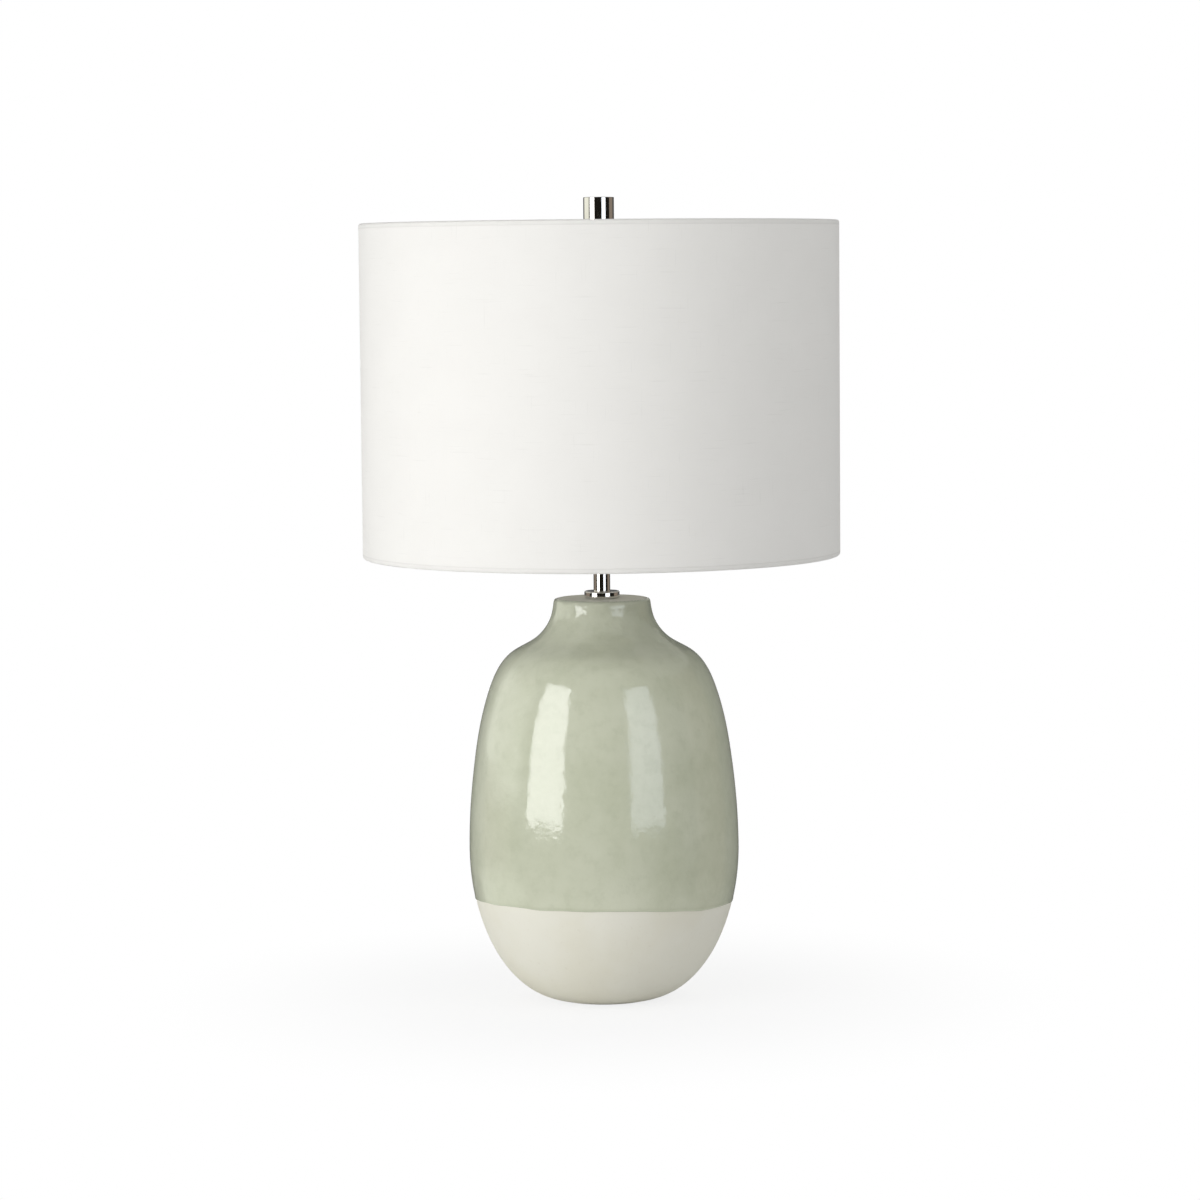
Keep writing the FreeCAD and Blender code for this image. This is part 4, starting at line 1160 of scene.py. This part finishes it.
# ---------------- turned metal
@dataclass
class TurnedMetal:
    """Polished collar, stem and finial, with the finial's washer and the threaded stud."""

    steps: int = 128
    collar_rounding: float = 0.0012
    edge: float = 0.00035
    stem_bore: float = 0.0051
    finial_edge: float = 0.0006
    finial_bore: float = 0.0033
    finial_bore_depth: float = 0.0115
    head_radius: float = 0.0045
    pivot_radius: float = 0.0025
    thread_radius: float = 0.0031
    thread_pitch: float = 0.00094
    thread_depth: float = 0.00042
    thread_sharpness: float = 1.4
    thread_rows: int = 110
    eye_thickness: float = 0.003
    eye_play: float = 0.00005
    chamfer: float = 0.0005
    seat_chamfer: float = 0.0003

    def build(self) -> None:
        """Makes the turned pieces."""
        self._tube("collar_turned", "neck_collar", self.collar_rounding, 10)
        self._tube("stem_tube", "stem_sleeve", self.edge, 4)
        self._finial()
        self._stud()
        dress(Finish.GASKET, "neck_gasket")
        dress(Finish.POLISHED_NICKEL, "finial_washer")
        LOG.info("turned metal: collar, stem, finial, stud and washers")

    def _tube(self, name: str, node: str, rounding: float, arc_steps: int) -> None:
        """Makes a polished tube or flange round the stem's bore.

        Args:
            name: The piece's name.
            node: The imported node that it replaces.
            rounding: Radius of its upper edge.
            arc_steps: Runs round that edge.
        """
        low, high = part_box(node)
        edge = self.edge
        outline = [(self.stem_bore, low.z)]
        outline += round_arc((high.x - edge, low.z + edge), edge, -90.0, 0.0, 4)
        outline += round_arc((high.x - rounding, high.z - rounding), rounding, 0.0, 90.0, arc_steps)
        outline += [(self.stem_bore, high.z)]
        make_piece(name, turned(outline, self.steps), Finish.POLISHED_NICKEL, "base", [node])

    def _finial(self) -> None:
        """Cylinder with fine rounded edges and a blind bore."""
        low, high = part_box("finial")
        edge, bore, roof = self.finial_edge, self.finial_bore, low.z + self.finial_bore_depth
        outline = [(0.0, roof), (bore, roof), (bore, low.z + edge), (bore + edge, low.z)]
        outline += round_arc((high.x - edge, low.z + edge), edge, -90.0, 0.0, 6)
        outline += round_arc((high.x - edge, high.z - edge), edge, 0.0, 90.0, 6)
        outline += [(high.x * 0.5, high.z), (0.0, high.z)]
        mesh = turned(outline, self.steps, closed=False)
        make_piece("finial_turned", mesh, Finish.POLISHED_NICKEL, "finial", ["finial"])

    def _stud(self) -> None:
        """Swivel stud, riveted through the harp's eye, with its thread cut."""
        low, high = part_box("harp_stud")
        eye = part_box("harp_wire")[1].z
        eye_low = eye - self.eye_thickness - self.eye_play
        seat_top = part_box("shade_hub")[0].z
        head, pivot, seat, thread = self.head_radius, self.pivot_radius, high.x, self.thread_radius
        cut, fine, rows = self.chamfer, self.seat_chamfer, self.thread_rows
        outline = [(0.0, low.z), (head - cut, low.z), (head, low.z + cut), (head, eye_low), (pivot, eye_low)]
        outline += [(pivot, eye), (seat - fine, eye), (seat, eye + fine), (seat, seat_top - fine)]
        outline += [(seat - fine, seat_top)]
        outline += [(thread, seat_top + (high.z - cut - seat_top) * i / rows) for i in range(rows + 1)]
        outline += [(thread - cut, high.z), (0.0, high.z)]
        mesh = turned(outline, 48, closed=False)
        threaded(mesh, seat_top, high.z, self.thread_pitch, self.thread_depth, self.thread_sharpness)
        make_piece("stud_threaded", mesh, Finish.ZINC_STEEL, "stud", ["harp_stud"])


# ---------------- lampholder and bulb
@dataclass
class LampholderAndBulb:
    """Lampholder with its turn switch, and a bulb whose cap has a rolled thread."""

    pitch: float = 0.0036
    thread_depth: float = 0.0009
    inner_share: float = 0.75  # depth of the shell's thread beside the cap's
    shell_wall: float = 0.0004
    cap_wall: float = 0.00035
    floor_hole: float = 0.007
    columns: int = 72
    rows: int = 66

    def build(self) -> None:
        """Makes the threaded pieces and dresses the rest."""
        self._screw_shell()
        self._bulb_cap()
        dress(Finish.SATIN_NICKEL, "harp_saddle", "saddle_nut", "socket_cap", "socket_shell")
        dress(Finish.SATIN_NICKEL, "harp_wire", "harp_sleeve_left", "harp_sleeve_right")
        dress(Finish.ZINC_STEEL, "cap_set_screw")
        dress(Finish.BOARD, "socket_liner")
        dress(Finish.PHENOLIC, "socket_core", "switch_knob")
        dress(Finish.BRASS, "centre_contact", "switch_shaft")
        dress(Finish.ALUMINIUM, "bulb_contact")
        dress(Finish.BLACK_GLASS, "bulb_insulator")
        dress(Finish.OPAL, "bulb_glass")
        LOG.info("lampholder: shell, switch, harp, bulb and two rolled threads")

    def _levels(self, low: float, high: float) -> list[float]:
        """Even heights for the rows of a thread."""
        return [low + (high - low) * i / self.rows for i in range(self.rows + 1)]

    def _screw_shell(self) -> None:
        """Brass cup with its thread rolled into the wall."""
        low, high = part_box("screw_shell")
        outer, wall = high.x, self.shell_wall
        bottom, top = low.z, high.z
        outline = [(self.floor_hole, bottom), (outer - 0.0012, bottom), (outer - 0.0003, bottom + 0.0004)]
        outline += [(outer, level) for level in self._levels(bottom + 0.0012, top - 0.0003)]
        outline += [(outer - wall / 2, top)]
        outline += [(outer - wall, level) for level in reversed(self._levels(bottom + 0.0014, top - 0.0003))]
        outline += [(outer - wall - 0.001, bottom + wall), (self.floor_hole, bottom + wall)]
        mesh = turned(outline, self.columns)
        threaded(mesh, bottom + 0.0015, top - 0.0006, self.pitch, self.thread_depth * self.inner_share)
        make_piece("screw_shell_rolled", mesh, Finish.BRASS, "base", ["screw_shell"])

    def _bulb_cap(self) -> None:
        """Aluminium cap with its thread rolled into the wall."""
        low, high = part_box("bulb_cap")
        outer, wall = high.x, self.cap_wall
        bottom, top = low.z, high.z
        outline = [(outer - 0.0025, bottom), (outer - 0.0015, bottom)]
        outline += [(outer, level) for level in self._levels(bottom + 0.0015, top)]
        outline += [(outer - wall, level) for level in reversed(self._levels(bottom + 0.0018, top))]
        outline += [(outer - wall - 0.0015, bottom + wall), (outer - 0.0025, bottom + wall)]
        mesh = turned(outline, self.columns)
        threaded(mesh, bottom + 0.001, top - 0.004, self.pitch, self.thread_depth)
        make_piece("bulb_cap_rolled", mesh, Finish.ALUMINIUM, "bulb", ["bulb_cap"])


# ---------------- the lamp
def main() -> None:
    """Builds the studio and dresses the lamp, one sub-assembly after another."""
    logging.basicConfig(level=logging.INFO, format="%(name)s: %(message)s")
    Studio().build()
    Jar().build()
    TurnedMetal().build()
    LampholderAndBulb().build()
    Shade().build()


if __name__ == "__main__":
    main()
